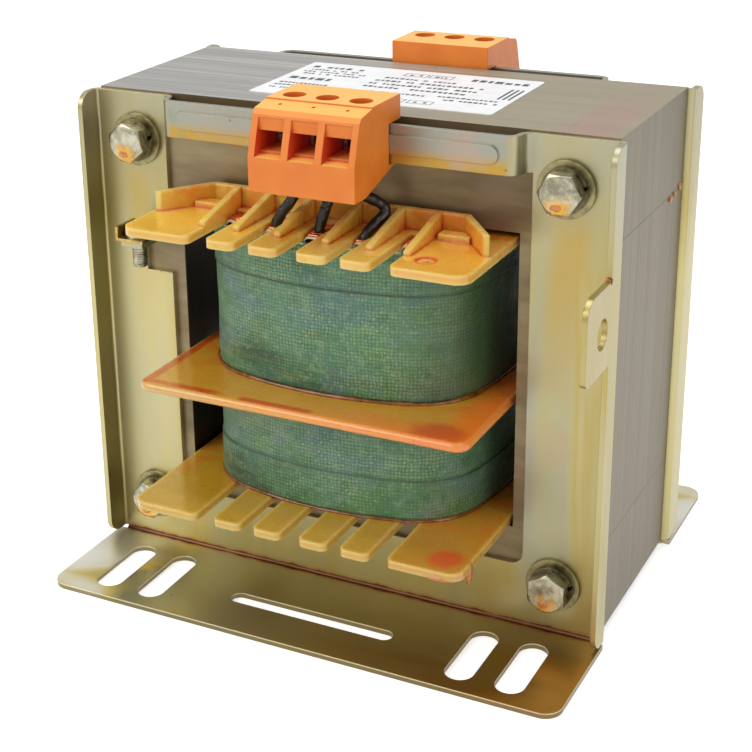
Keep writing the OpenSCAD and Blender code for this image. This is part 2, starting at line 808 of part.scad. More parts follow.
// Split ring, its cut slanting across the ring
module bolt_spring_washers() color("silver") at_bolts(plate_y - washer_t) difference() {
    tube(spring_washer_od, bolt_d + 2 * bolt_fit, spring_washer_t);
    rotate([25, 0, 20]) translate([0, -split_w / 2, -spring_washer_t])
        cube([spring_washer_od, split_w, 4 * spring_washer_t]);
}

module core_nuts() color("silver") for (i = [0 : 3])
    translate([bolt_places[i].x, -plate_y + washer_t, bolt_places[i].y])
        rotate([-90, nut_turn[i], 0]) difference() {
            hexagon(bolt_af, nut_h);
            translate([0, 0, -1]) cylinder(d = bolt_d + 2 * thread_fit, h = nut_h + 2);
        }

// ---- terminal blocks ------------------------------------------------------

module front_block() translate([front_block_x, rail_y, rail_z]) children();
module rear_block() at_rear() translate([-rear_block_x, rail_y, rail_z]) children();
module at_poles() for (x = pole_x) translate([x, screw_y, 0]) children();

// Side profile (y, z): lid, sloping face, ledge, lower body and the hook that
// holds the rail in its slot
block_profile = [
    [overhang, block_top], [lid_y, block_top], [lid_y, block_top - lid_step],
    [-face_reach + brow_set, face_z + brow_h], [-face_reach, face_z],
    [-ledge_reach, ledge_z], [-ledge_reach, -block_drop],
    [-ledge_reach + base_l, -block_drop],
    [sheet_t + rail_fit + hook_t, -hook_gap - hook_rise],
    [sheet_t + rail_fit + hook_t, hook_h],
    [sheet_t + rail_fit, hook_h], [sheet_t + rail_fit, -hook_gap],
    [-slot_front, -hook_gap], [-slot_front, rail_h + rail_fit], [overhang, rail_h + rail_fit]
];

// What is cut away in front of each wire window, down to the ledge
bay_profile = [
    [-face_reach, face_z - brow], [-ledge_reach - 1, face_z - brow],
    [-ledge_reach - 1, ledge_z], [-ledge_reach, ledge_z], [-face_reach, ledge_z + sill]
];

module terminal_housing() color("darkorange") difference() {
    translate([-block_w / 2, 0, 0]) along_x(block_w) polygon(block_profile);
    for (x = pole_x) translate([x - cell_w / 2, 0, 0]) {
        along_x(cell_w) polygon(bay_profile);
        box3([0, -ledge_reach, ledge_z + window_sill],
             [cell_w, screw_y, ledge_z + window_sill + window_h]);
    }
    at_poles() {
        box3([-cage_w / 2 - cage_fit, -cage_d / 2 - cage_fit, cage_z - hook_gap],
             [cage_w / 2 + cage_fit, cage_d / 2 + cage_fit, cage_z + cage_h + cage_fit]);
        translate([0, 0, cage_z + cage_h]) cylinder(d = screw_hole_d, h = block_top);
        translate([0, dimple_y - screw_y, block_top - dimple_depth])
            cylinder(d = dimple_d, h = 2, $fn = 16);
        box3([-tail_w / 2 - cage_fit, -tail_t / 2 - cage_fit, -block_drop - 1],
             [tail_w / 2 + cage_fit, tail_t / 2 + cage_fit, cage_z]);
    }
}

// Metal cage open to the front and back, drawn up by its screw
module terminal_clamps() color("silver") at_poles() translate([0, 0, cage_z]) difference() {
    box3([-cage_w / 2, -cage_d / 2, 0], [cage_w / 2, cage_d / 2, cage_h]);
    box3([-cage_w / 2 + cage_wall, -cage_d, cage_wall],
         [cage_w / 2 - cage_wall, cage_d, cage_h - cage_roof]);
    translate([0, 0, cage_wall]) cylinder(d = screw_d + 2 * thread_fit, h = cage_h);
}

module terminal_screws() color("silver") at_poles() translate([0, 0, cage_z + cage_h]) {
    translate([0, 0, -cage_roof - screw_grip])
        cylinder(d = screw_d, h = cage_roof + screw_grip + eps);
    difference() {
        cylinder(d = screw_head_d, h = screw_head_h);
        rotate([0, 0, 20])
            translate([-screw_head_d, -screw_slot_w / 2, screw_head_h - screw_slot_h])
                cube([2 * screw_head_d, screw_slot_w, 2]);
    }
}

module terminal_tails() color("silver") at_poles()
    box3([-tail_w / 2, -tail_t / 2, tail_end], [tail_w / 2, tail_t / 2, cage_z]);

module front_terminal_housing() front_block() terminal_housing();
module front_terminal_clamps() front_block() terminal_clamps();
module front_terminal_screws() front_block() terminal_screws();
module front_terminal_tails() front_block() terminal_tails();
module rear_terminal_housing() rear_block() terminal_housing();
module rear_terminal_clamps() rear_block() terminal_clamps();
module rear_terminal_screws() rear_block() terminal_screws();
module rear_terminal_tails() rear_block() terminal_tails();

// ---- small parts ----------------------------------------------------------

module at_earth(z) translate([earth_x, earth_y, z]) children();

// Pan head screw with a straight slot, through the wire clamp and the tab
module earth_screw() color("silver") at_earth(earth_top + clamp_t) {
    translate([0, 0, -clamp_t - sheet_t - earth_thread_l])
        cylinder(d = earth_d - 2 * thread_fit, h = earth_thread_l + sheet_t + clamp_t + eps);
    difference() {
        intersection() {
            cylinder(d = earth_head_d, h = earth_head_h);
            cylinder(d1 = earth_head_d + 2, d2 = earth_head_d - earth_dome, h = earth_head_h);
        }
        rotate([0, 0, 35])
            translate([-earth_head_d, -earth_slot_w / 2, earth_head_h - earth_slot_h])
                cube([2 * earth_head_d, earth_slot_w, 2]);
    }
}

// Square clamping washer with one edge turned up
module earth_clamp() color("gold") at_earth(earth_top) {
    difference() {
        box3([-clamp_w / 2, -clamp_d / 2, 0], [clamp_w / 2, clamp_d / 2, clamp_t]);
        translate([0, 0, -1]) cylinder(d = earth_d + 2 * clamp_hole_fit, h = clamp_t + 2);
    }
    box3([-clamp_w / 2 - clamp_t, -clamp_d / 2, 0],
         [-clamp_w / 2 + eps, clamp_d / 2, clamp_lip]);
}

module rating_label() color("white") translate([front_block_x, 0, core_top])
    linear_extrude(label_t) round_rect(label_l, label_w, 1);

front_bracket();
rear_bracket();
yoke_up_e_laminations();
yoke_down_e_laminations();
top_i_laminations();
bottom_i_laminations();
bobbin_tube();
bobbin_top_flange();
bobbin_middle_flange();
bobbin_bottom_flange();
upper_winding();
lower_winding();
upper_tape();
lower_tape();
front_leads();
rear_leads();
core_bolts();
bolt_sleeves();
bolt_spring_washers();
bolt_flat_washers();
nut_flat_washers();
core_nuts();
front_terminal_housing();
front_terminal_clamps();
front_terminal_screws();
front_terminal_tails();
rear_terminal_housing();
rear_terminal_clamps();
rear_terminal_screws();
rear_terminal_tails();
earth_screw();
earth_clamp();
rating_label();
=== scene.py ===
import json
import math
import random

import bpy
from mathutils import Euler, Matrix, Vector, noise

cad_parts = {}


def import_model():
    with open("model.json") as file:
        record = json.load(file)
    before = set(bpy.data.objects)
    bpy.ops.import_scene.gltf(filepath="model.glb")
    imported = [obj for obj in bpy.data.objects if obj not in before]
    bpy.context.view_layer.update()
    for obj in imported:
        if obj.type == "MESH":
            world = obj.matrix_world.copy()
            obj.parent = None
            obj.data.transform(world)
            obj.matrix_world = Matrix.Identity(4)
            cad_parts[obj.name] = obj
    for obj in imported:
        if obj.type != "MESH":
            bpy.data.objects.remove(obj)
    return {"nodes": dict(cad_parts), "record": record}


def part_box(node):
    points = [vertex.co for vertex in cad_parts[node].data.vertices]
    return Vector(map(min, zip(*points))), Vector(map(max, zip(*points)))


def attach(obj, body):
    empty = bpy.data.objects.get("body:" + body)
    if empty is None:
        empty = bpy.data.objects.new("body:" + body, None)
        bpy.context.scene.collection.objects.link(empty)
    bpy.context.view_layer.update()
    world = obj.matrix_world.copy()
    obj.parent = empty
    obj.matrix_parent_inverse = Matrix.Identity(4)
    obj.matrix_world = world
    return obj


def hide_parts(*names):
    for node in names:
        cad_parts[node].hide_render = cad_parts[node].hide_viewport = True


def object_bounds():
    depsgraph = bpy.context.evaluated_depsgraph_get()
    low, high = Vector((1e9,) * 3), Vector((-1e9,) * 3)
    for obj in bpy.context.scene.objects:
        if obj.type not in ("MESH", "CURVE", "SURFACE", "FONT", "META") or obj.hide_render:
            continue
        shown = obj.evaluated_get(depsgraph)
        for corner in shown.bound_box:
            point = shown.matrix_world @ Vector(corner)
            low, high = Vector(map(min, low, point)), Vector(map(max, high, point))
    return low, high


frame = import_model()
cad_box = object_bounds()
nodes = frame["nodes"]
MM = 0.001


def span(node, axis):
    """Lowest and highest coordinate of a CAD node along x, y or z, in millimetres."""
    lo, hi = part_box(node)
    return getattr(lo, axis) / MM, getattr(hi, axis) / MM


# ==== Places on the part, in millimetres ====

# Through bolts, either side of the middle, and the lower and the upper row
BOLT_X, BOLT_LOW, BOLT_HIGH = 62.5, 16.0, 126.0
# Outer face of each bracket's plate, and the sheet's thickness
PLATE_Y, SHEET = 30.9, 1.5
# Half width and half depth of the core's windows, which end at the yokes' joints
WINDOW_X, WINDOW_Y = 50.0, 29.4
# Heights where the E plates meet the I plates
JOINT_UP = span("top_i_laminations", "z")[0]
JOINT_LOW = span("bottom_i_laminations", "z")[1]
# Middle flange of the bobbin: its heights, half width and half depth
SHELF = span("bobbin_middle_flange", "z")
SHELF_X, SHELF_Y = 48.5, 60.0
# Gate mark on the top flange
GATE_X, GATE_Y = 35.0, 53.9
# Depth of the lap on each tape, and the heights where the laps end
LAP = 12.0
LAPS = (span("upper_tape", "z")[1] - LAP, span("lower_tape", "z")[0] + LAP)
# Terminal blocks: middle of the front and the rear one, and the pole pitch
FRONT_BLOCK_X, REAR_BLOCK_X, POLE_PITCH = 2.5, -2.0, 9.4
# Finger pitch of the top flange
FINGER_PITCH = 13.0


# ==== Materials: a small layer over shader nodes. Positions are in millimetres ====

class Mat:
    """A Principled material with short calls for the nodes that feed it."""

    def __init__(self, name, **fixed):
        self.m = bpy.data.materials.new(name)
        self.m.use_nodes = True
        self.t = self.m.node_tree
        self.t.nodes.clear()
        self.b = self.t.nodes.new("ShaderNodeBsdfPrincipled")
        out = self.t.nodes.new("ShaderNodeOutputMaterial")
        self.t.links.new(self.b.outputs[0], out.inputs[0])
        for k, v in fixed.items():
            self.b.inputs[k.replace("_", " ")].default_value = v
        self._pos = self._xyz = self._n = None

    def put(self, sock, value):
        """Link a node's output to the socket, or set a plain value on it."""
        if isinstance(value, bpy.types.NodeSocket):
            self.t.links.new(value, sock)
        elif isinstance(value, (tuple, list)) and sock.type == "RGBA":
            sock.default_value = (*value[:3], 1.0)
        else:
            sock.default_value = value

    def node(self, kind, *ins, out=0, **props):
        """A new node with its inputs in order, and one of its outputs back."""
        n = self.t.nodes.new("ShaderNode" + kind)
        for k, v in props.items():
            setattr(n, k, v)
        for i, v in enumerate(ins):
            if v is not None:
                self.put(n.inputs[i], v)
        return n.outputs[out]

    def math(self, op, a, b=None):
        return self.node("Math", a, b, operation=op)

    def add(self, a, b):
        return self.math("ADD", a, b)

    def sub(self, a, b):
        return self.math("SUBTRACT", a, b)

    def mul(self, a, b):
        return self.math("MULTIPLY", a, b)

    def top(self, a, b):
        return self.math("MAXIMUM", a, b)

    def low(self, a, b):
        return self.math("MINIMUM", a, b)

    def abs(self, a):
        return self.math("ABSOLUTE", a)

    def away(self, a, b):
        """Length of the vector (a, b)."""
        return self.math("SQRT", self.add(self.math("POWER", a, 2.0), self.math("POWER", b, 2.0)))

    def pos(self):
        """The point on the part, in millimetres."""
        if self._pos is None:
            o = self.node("TexCoord", out=3)
            self._pos = self.node("VectorMath", o, (1 / MM,) * 3, operation="MULTIPLY")
        return self._pos

    def xyz(self, i):
        if self._xyz is None:
            n = self.t.nodes.new("ShaderNodeSeparateXYZ")
            self.t.links.new(self.pos(), n.inputs[0])
            self._xyz = n.outputs
        return self._xyz[i]

    def normal(self, i):
        if self._n is None:
            g = self.t.nodes.new("ShaderNodeNewGeometry")
            n = self.t.nodes.new("ShaderNodeSeparateXYZ")
            self.t.links.new(g.outputs["Normal"], n.inputs[0])
            self._n = n.outputs
        return self._n[i]

    def own_side(self):
        """x, |y| and z as the front bracket has them, and the sign that turns the rear one round."""
        turn = self.math("SIGN", self.mul(self.xyz(1), -1.0))
        return self.mul(self.xyz(0), turn), self.abs(self.xyz(1)), self.xyz(2), turn

    def stretch(self, sx, sy, sz, v=None):
        """The point with each axis scaled, to draw a noise out along the smaller ones."""
        return self.node("VectorMath", v or self.pos(), (sx, sy, sz), operation="MULTIPLY")

    def noise(self, scale=1.0, detail=3.0, rough=0.5, v=None, warp=0.0):
        n = self.t.nodes.new("ShaderNodeTexNoise")
        self.put(n.inputs["Vector"], v or self.pos())
        n.inputs["Scale"].default_value = scale
        n.inputs["Detail"].default_value = detail
        n.inputs["Roughness"].default_value = rough
        n.inputs["Distortion"].default_value = warp
        return n.outputs["Fac"]

    def spots(self, scale):
        """Distance to the nearest of many scattered points."""
        n = self.t.nodes.new("ShaderNodeTexVoronoi")
        self.put(n.inputs["Vector"], self.pos())
        n.inputs["Scale"].default_value = scale
        return n.outputs["Distance"]

    def hidden(self, distance, inside=False):
        """Ambient occlusion of the node's own faces; inside finds thin outer edges."""
        n = self.t.nodes.new("ShaderNodeAmbientOcclusion")
        n.only_local = True
        n.inside = inside
        n.samples = 8
        n.inputs["Distance"].default_value = distance * MM
        return n.outputs["AO"]

    def scale(self, x, a, b, lo, hi, kind="LINEAR"):
        """Straight run from lo at a to hi at b."""
        n = self.t.nodes.new("ShaderNodeMapRange")
        n.interpolation_type = kind
        self.put(n.inputs["Value"], x)
        for k, v in (("From Min", a), ("From Max", b), ("To Min", lo), ("To Max", hi)):
            n.inputs[k].default_value = v
        return n.outputs["Result"]

    def step(self, x, a, b, lo=0.0, hi=1.0):
        """Smooth step from lo at a to hi at b."""
        return self.scale(x, a, b, lo, hi, "SMOOTHSTEP")

    def spread(self, x, lo, hi):
        """Noise keeps mostly between 0.3 and 0.7: spread it from lo to hi."""
        return self.scale(x, 0.3, 0.7, lo, hi)

    def ramp(self, fac, *stops):
        """Colour from stops of (place, colour)."""
        n = self.t.nodes.new("ShaderNodeValToRGB")
        e = n.color_ramp.elements
        while len(e) < len(stops):
            e.new(0.5)
        for el, (p, c) in zip(e, stops):
            el.position = p
            el.color = (*c, 1.0)
        self.put(n.inputs[0], fac)
        return n.outputs[0]

    def mix(self, fac, a, b):
        """From colour a to colour b."""
        n = self.t.nodes.new("ShaderNodeMix")
        n.data_type = "RGBA"
        self.put(n.inputs[0], fac)
        # the sixth and seventh sockets are the colours
        self.put(n.inputs[6], a)
        self.put(n.inputs[7], b)
        return n.outputs[2]

    def bump(self, height, strength, distance, bevel=0.0):
        """Relief of the given depth, on edges that are rounded by bevel millimetres."""
        n = self.t.nodes.new("ShaderNodeBump")
        if bevel:
            r = self.t.nodes.new("ShaderNodeBevel")
            r.samples = 4
            r.inputs["Radius"].default_value = bevel * MM
            self.t.links.new(r.outputs[0], n.inputs["Normal"])
        n.inputs["Strength"].default_value = strength
        n.inputs["Distance"].default_value = distance * MM
        self.put(n.inputs["Height"], height)
        self.put(self.b.inputs["Normal"], n.outputs[0])

    def base(self, c):
        self.put(self.b.inputs["Base Color"], c)

    def rough(self, v):
        self.put(self.b.inputs["Roughness"], v)


def srgb(*levels):
    """Linear colour from 8-bit display levels."""
    return tuple(((v / 255 + 0.055) / 1.055) ** 2.4 if v > 10 else v / 255 / 12.92 for v in levels)


def zinc_rail(m, here, z):
    """The rail: grey above, yellow along its lower edge, blue and pink between."""
    tint = m.noise(1.0, 2, 0.5, m.stretch(0.06, 0.0, 0.05, here))
    band = m.mix(m.step(z, 134.5, 130.5), srgb(154, 154, 140), srgb(180, 146, 62))
    band = m.mix(m.step(tint, 0.52, 0.66, 0, 0.6), band, srgb(174, 150, 134))
    return m.mix(m.step(tint, 0.44, 0.34, 0, 0.6), band, srgb(128, 136, 118))


def zinc_foot(m, here, x, ay):
    """The foot: whitish at its left end, then olive, then gold and rusty brown."""
    soft = m.spread(m.noise(1.0, 2, 0.5, m.stretch(0.02, 0.045, 0, here), 0.8), -0.10, 0.10)
    gold = m.ramp(m.add(m.scale(x, -80, 80, 0, 1), soft),
                  (0.00, srgb(240, 238, 224)), (0.06, srgb(234, 228, 202)),
                  (0.12, srgb(214, 194, 104)), (0.19, srgb(156, 154, 120)),
                  (0.34, srgb(164, 156, 116)), (0.56, srgb(170, 154, 94)),
                  (0.78, srgb(148, 122, 58)), (0.89, srgb(150, 112, 40)), (1.00, srgb(190, 138, 56)))
    rust = m.mul(m.step(ay, 52, 66), m.step(x, -30, 30))
    gold = m.mix(m.mul(rust, 0.35), gold, srgb(150, 104, 30))
    return m.mix(m.mul(m.step(ay, 48, 33), 0.4), gold, srgb(158, 150, 108))


def zinc_cut_edges(m, film, ay, z):
    """Cut edges of the sheet: paler, partly bare metal and partly painted highlight, and darker low
    down, painted shade.
    """
    ny, nz = m.abs(m.normal(1)), m.abs(m.normal(2))
    on_foot = m.mul(m.step(z, SHEET + 0.2, SHEET - 0.05), m.step(ay, PLATE_Y + 0.3, PLATE_Y + 1.1))
    on_foot = m.mul(m.step(nz, 0.5, 0.3), on_foot)
    on_plate = m.mul(m.step(ny, 0.5, 0.3), m.step(ay, PLATE_Y + 0.3, PLATE_Y + 0.05))
    cut = m.low(m.add(on_foot, m.mul(on_plate, m.step(z, 1.6, 3.0))), 1.0)
    # painted highlight on the upper part of each cut edge, painted shade on its lower part
    edge_sheen_and_shade = m.mix(m.mul(on_foot, m.step(z, 1.35, 1.05)), srgb(204, 196, 164), srgb(112, 96, 60))
    return m.mix(m.mul(cut, 0.85), film, edge_sheen_and_shade)


def zinc_bend(m, film, here, ax, ay, z):
    """Varnish that has browned in the foot bend."""
    width = m.scale(m.noise(1.0, 3, 0.6, m.stretch(0.14, 0, 0, here)), 0.3, 0.75, 0.0, 1.1)
    from_bend = m.add(m.abs(m.sub(ay, PLATE_Y + 0.3)), m.abs(m.sub(z, SHEET + 0.3)))
    near = m.sub(from_bend, width)
    ends = m.step(ax, 76.5, 74)
    film = m.mix(m.mul(m.mul(m.step(near, 1.7, 0.5), ends), 0.45), film, srgb(176, 116, 60))
    return m.mix(m.mul(m.mul(m.step(near, 0.7, 0.25), ends), 0.85), film, srgb(98, 48, 26))


def zinc_material():
    """Yellow passivated sheet: a thin iridescent film with dipping varnish over it."""
    m = Mat("zinc", Metallic=0.8, Coat_Weight=0.2, Coat_Roughness=0.25)
    x, ay, z, turn = m.own_side()
    ax = m.abs(x)
    here = m.node("CombineXYZ", x, ay, z)
    bands = m.noise(1.0, 2, 0.5, m.stretch(0.085, 0.06, 0.010, here), 0.5)
    film = m.ramp(bands, (0.30, srgb(156, 154, 132)), (0.41, srgb(167, 161, 122)),
                  (0.50, srgb(172, 160, 106)), (0.60, srgb(172, 155, 92)),
                  (0.70, srgb(178, 167, 122)))
    cloud = m.noise(1.0, 3, 0.55, m.stretch(0.022, 0.02, 0.016, here), 0.6)
    film = m.mix(m.step(cloud, 0.50, 0.70, 0, 0.45), film, srgb(184, 174, 130))
    film = m.mix(m.step(cloud, 0.40, 0.28, 0, 0.35), film, srgb(172, 144, 104))
    # greyer at the top; paler down the left leg, painted light that lifts its shade
    film = m.mix(m.step(z, 100, 136, 0, 0.5), film, srgb(166, 164, 144))
    film = m.mix(m.mul(m.step(x, -48, -58), m.step(z, 112, 84, 0, 0.55)), film, srgb(204, 192, 138))
    # yellow runs under the upper bolts
    sway = m.spread(m.noise(1.0, 2, 0.5, m.stretch(0, 0, 0.03, here)), -2.5, 2.5)
    run = m.mul(m.step(m.abs(m.sub(m.sub(ax, BOLT_X), sway)), 7, 1),
                m.mul(m.step(z, 121, 112), m.step(z, 66, 104)))
    film = m.mix(m.mul(run, m.step(x, -10, 10, 0.35, 0.65)), film, srgb(178, 146, 66))
    rail = m.mul(m.step(z, 126.5, 128.8), m.step(ax, 49.5, 48.0))
    film = m.mix(rail, film, zinc_rail(m, here, z))
    # painted shade on the inside of the left flange, deep olive lower down
    side = m.mul(m.step(x, -70, -74), m.step(ay, 31.0, 32.0))
    side = m.mul(m.step(m.mul(m.normal(0), turn), 0.6, 0.9), side)
    olive = m.ramp(m.scale(z, 0, 140, 0, 1), (0.02, srgb(112, 102, 54)), (0.45, srgb(122, 112, 64)),
                   (0.78, srgb(130, 122, 78)), (0.97, srgb(162, 158, 132)))
    film = m.mix(m.mul(side, 0.9), film, olive)
    # the sill above the foot, and the foot
    sill = m.mul(m.step(z, 15, 4), m.step(m.noise(0.05, 2), 0.3, 0.6, 0.3, 0.7))
    film = m.mix(sill, film, srgb(184, 172, 124))
    foot = m.mul(m.step(z, 2.6, 1.6), m.step(ay, 30.6, 31.6))
    film = m.mix(foot, film, zinc_foot(m, here, x, ay))
    film = zinc_cut_edges(m, film, ay, z)
    film = zinc_bend(m, film, here, ax, ay, z)
    speck = m.mul(m.step(m.spots(0.13), 0.055, 0.03), m.step(m.noise(0.05, 2), 0.5, 0.56))
    film = m.mix(m.mul(speck, 0.8), film, srgb(104, 84, 46))
    m.base(film)
    grain = m.noise(1.0, 2, 0.5, m.stretch(1.9, 1.9, 0.35))
    m.rough(m.add(m.spread(cloud, 0.30, 0.40), m.mul(grain, 0.08)))
    m.bump(m.add(m.mul(grain, 0.5), m.noise(0.8, 2)), 0.12, 0.05, bevel=0.35)
    return m.m


def core_edges(m, wide, streak, y, z):
    """Edges of the plates, sheet by sheet, with a dark line where E and I plates meet."""
    tone = m.node("TexWhiteNoise", None, m.math("FLOOR", m.mul(y, 2.0)), noise_dimensions="1D")
    edge = m.ramp(m.add(m.mul(wide, 0.6), m.add(m.mul(streak, 0.3), m.mul(tone, 0.12))),
                  (0.30, srgb(74, 64, 48)), (0.42, srgb(106, 95, 72)),
                  (0.54, srgb(124, 113, 89)), (0.70, srgb(144, 134, 108)))
    edge = m.mix(m.step(z, 90, 0, 0, 0.35), edge, srgb(110, 93, 66))
    edge = m.mix(m.step(y, -10, 30, 0, 0.3), edge, srgb(98, 86, 62))
    joint = m.top(*(m.step(m.abs(m.sub(z, h)), 0.42, 0.12) for h in (JOINT_UP, JOINT_LOW)))
    ends = m.step(m.abs(m.normal(0)), 0.6, 0.9)
    joint = m.mul(joint, m.mul(ends, m.step(streak, 0.35, 0.6, 0.35, 0.85)))
    return m.mix(joint, edge, srgb(76, 62, 48)), joint


def core_top(m, wide, streak, x, y):
    """The top, grey at the left and brown at the right, with a pink band."""
    top = m.ramp(m.add(m.mul(wide, 0.65), m.mul(streak, 0.35)),
                 (0.32, srgb(136, 135, 132)), (0.5, srgb(168, 165, 160)), (0.68, srgb(194, 191, 186)))
    top = m.mix(m.step(x, -40, 40, 0, 0.75), top, srgb(158, 144, 108))
    pink = m.mul(m.step(m.abs(m.sub(x, 66)), 9, 4), m.step(y, 26, -8))
    return m.mix(m.mul(pink, 0.65), top, srgb(172, 138, 126))


def core_face(m):
    """The outermost plates, oxidised brown and violet."""
    face = m.ramp(m.noise(1.0, 3, 0.6, m.stretch(0.030, 0.05, 0.11)),
                  (0.3, srgb(102, 88, 60)), (0.5, srgb(130, 114, 80)), (0.72, srgb(156, 140, 104)))
    violet = m.step(m.noise(1.0, 2, 0.5, m.stretch(0.04, 0.04, 0.012)), 0.5, 0.66, 0, 0.45)
    return m.mix(violet, face, srgb(130, 112, 98))


def window_shade_mask(m, x, y, z):
    """1 on the walls inside the core's windows, where the painted shade goes."""
    across = m.mul(m.step(m.abs(x), WINDOW_X + 1.0, WINDOW_X + 0.2),
                   m.step(m.abs(y), WINDOW_Y - 0.2, WINDOW_Y - 0.8))
    between = m.mul(m.step(z, JOINT_LOW - 1, JOINT_LOW), m.step(z, JOINT_UP + 1, JOINT_UP))
    return m.mul(across, between)


def core_material():
    """Thin varnished plates stacked along Y."""
    m = Mat("core_steel", Metallic=0.55, Coat_Weight=0.12, Coat_Roughness=0.3)
    x, y, z = (m.xyz(i) for i in range(3))
    # the plates end at the two joints, so the grain shifts there
    above = m.step(z, JOINT_UP - 0.05, JOINT_UP + 0.05)
    below = m.step(z, JOINT_LOW + 0.05, JOINT_LOW - 0.05)
    here = m.node("CombineXYZ", x, m.add(y, m.mul(m.sub(above, below), 7.3)), z)
    wide = m.noise(1.0, 3, 0.7, m.stretch(0.006, 0.5, 0.006, here))
    streak = m.noise(1.0, 3, 0.6, m.stretch(0.02, 1.5, 0.012, here))
    edge, joint = core_edges(m, wide, streak, y, z)
    edge = m.mix(m.step(m.normal(2), 0.6, 0.9), edge, core_top(m, wide, streak, x, y))
    flat = m.step(m.abs(m.normal(1)), 0.6, 0.9)
    c = m.mix(flat, edge, core_face(m))
    # painted shade: near-black on the walls inside the windows; rust and pits elsewhere
    c = m.mix(m.mul(window_shade_mask(m, x, y, z), 0.92), c, srgb(30, 26, 20))
    rust = m.mul(m.step(m.noise(0.35, 3, 0.6), 0.62, 0.72),
                 m.step(m.noise(1.0, 1, 0.5, m.stretch(0.03, 0.8, 0.03)), 0.60, 0.70))
    c = m.mix(m.mul(rust, 0.5), c, srgb(120, 78, 48))
    pit = m.mul(m.step(m.spots(0.11), 0.05, 0.03), m.step(m.noise(0.04, 2), 0.52, 0.58))
    c = m.mix(m.mul(pit, 0.8), c, srgb(58, 48, 38))
    m.base(c)
    # a groove between each two sheets, and at the joints
    gap = m.math("PINGPONG", m.mul(y, 2.0), 0.5)
    line = m.mul(m.step(gap, 0.0, 0.16), m.sub(1, flat))
    m.rough(m.spread(wide, 0.34, 0.52))
    m.bump(m.sub(m.add(line, m.mul(streak, 0.8)), joint), 0.4, 0.05)
    return m.m


def bobbin_shelf(m, body, shelf, wash, x, ay):
    """Marks on the middle flange: red lines inside its edge, an orange end and a pale rim, which is
    painted light.
    """
    rim = m.low(m.sub(SHELF_Y, ay), m.sub(SHELF_X, m.abs(x)))
    line = m.mul(m.step(m.abs(m.sub(rim, 2.6)), 1.8, 0.7), m.step(x, -20, -28))
    stripe = m.mul(m.step(m.abs(m.sub(rim, 2.2)), 1.35, 0.95),
                   m.mul(m.step(x, -17.5, -16.5), m.step(x, 6.0, 3.0)))
    warm = m.mul(m.step(x, -10, 45, 0, 0.8), m.step(m.sub(rim, m.mul(wash, 8.0)), 8.0, 0.0))
    body = m.mix(m.mul(shelf, warm), body, srgb(250, 126, 40))
    blot = m.away(m.sub(x, 39.0), m.mul(m.sub(ay, 55.0), 1.4))
    blot = m.mul(m.step(m.sub(blot, m.mul(wash, 9.0)), 5.5, 0.0), 0.75)
    red = m.mul(shelf, m.top(m.top(m.mul(line, 0.85), m.mul(stripe, 0.85)), blot))
    body = m.mix(red, body, srgb(208, 74, 24))
    # painted light along the rim, where the thick edge lets light through
    rim_painted_light = m.mul(shelf, m.mul(m.step(rim, 1.7, 0.4), 0.6))
    return m.mix(rim_painted_light, body, m.mix(m.step(x, -45, 0), srgb(214, 172, 104), srgb(240, 150, 62)))


def bobbin_material():
    """Honey-yellow moulding, a little translucent, with orange varnish in its corners."""
    m = Mat("bobbin", Roughness=0.3, Subsurface_Weight=0.5, Subsurface_Scale=0.004,
            Coat_Weight=0.6, Coat_Roughness=0.16, IOR=1.5)
    m.b.inputs["Subsurface Radius"].default_value = (1.0, 0.5, 0.15)
    x, ay, z, _ = m.own_side()
    here = m.node("CombineXYZ", x, ay, z)
    body = m.ramp(m.noise(0.035, 2, 0.5, here, 0.6),
                  (0.30, srgb(222, 172, 50)), (0.5, srgb(230, 186, 66)), (0.70, srgb(236, 204, 104)))
    # the bottom flange is browner and darker, partly painted shade, the middle one deeper, the top one
    # redder at the right
    low = m.step(z, 46, 40)
    body = m.mix(m.mul(low, 0.75), body, srgb(194, 154, 36))
    body = m.mix(m.mul(low, m.step(x, 10, 40, 0, 0.4)), body, srgb(204, 124, 34))
    shelf = m.mul(m.step(z, SHELF[0] - 1.0, SHELF[0] - 0.3),
                  m.step(z, SHELF[1] + 1.0, SHELF[1] + 0.3))
    body = m.mix(m.mul(shelf, 0.7), body, srgb(214, 154, 40))
    body = m.mix(m.mul(m.step(z, 108, 110), m.step(x, -10, 40, 0, 0.5)), body, srgb(226, 148, 44))
    # painted light: paler along the thin outer edges, where light shows through the plastic
    body = m.mix(m.step(m.hidden(1.4, inside=True), 0.96, 0.60, 0, 0.6), body, srgb(244, 212, 122))
    # varnish in the inside corners and creeping from the roots
    wash = m.noise(0.11, 3, 0.6, here, 0.8)
    body = m.mix(m.mul(m.step(ay, 50, 36), m.step(wash, 0.44, 0.62, 0, 0.6)), body, srgb(224, 122, 38))
    corner = m.mul(m.step(m.hidden(1.6), 0.74, 0.52), m.step(wash, 0.34, 0.52, 0.35, 0.95))
    body = m.mix(corner, body, srgb(214, 78, 30))
    body = bobbin_shelf(m, body, shelf, wash, x, ay)
    # a red spot at the corner of the bottom wing
    spot = m.sub(m.away(m.sub(x, 42.5), m.sub(ay, 57.5)), m.mul(wash, 4))
    body = m.mix(m.mul(m.mul(low, m.step(spot, 4.6, 0.6)), 0.85), body, srgb(222, 84, 32))
    # ring round the gate mark
    ring = m.sub(m.away(m.sub(x, GATE_X), m.sub(ay, GATE_Y)), 2.6)
    ring = m.mul(m.step(m.abs(ring), 0.8, 0.3), m.step(z, 108, 109))
    body = m.mix(m.mul(ring, 0.8), body, srgb(218, 92, 34))
    m.base(body)
    m.rough(m.spread(m.noise(0.25, 2, 0.5), 0.24, 0.34))
    m.bump(m.noise(0.22, 1, 0.5), 0.10, 0.12, bevel=0.8)
    return m.m


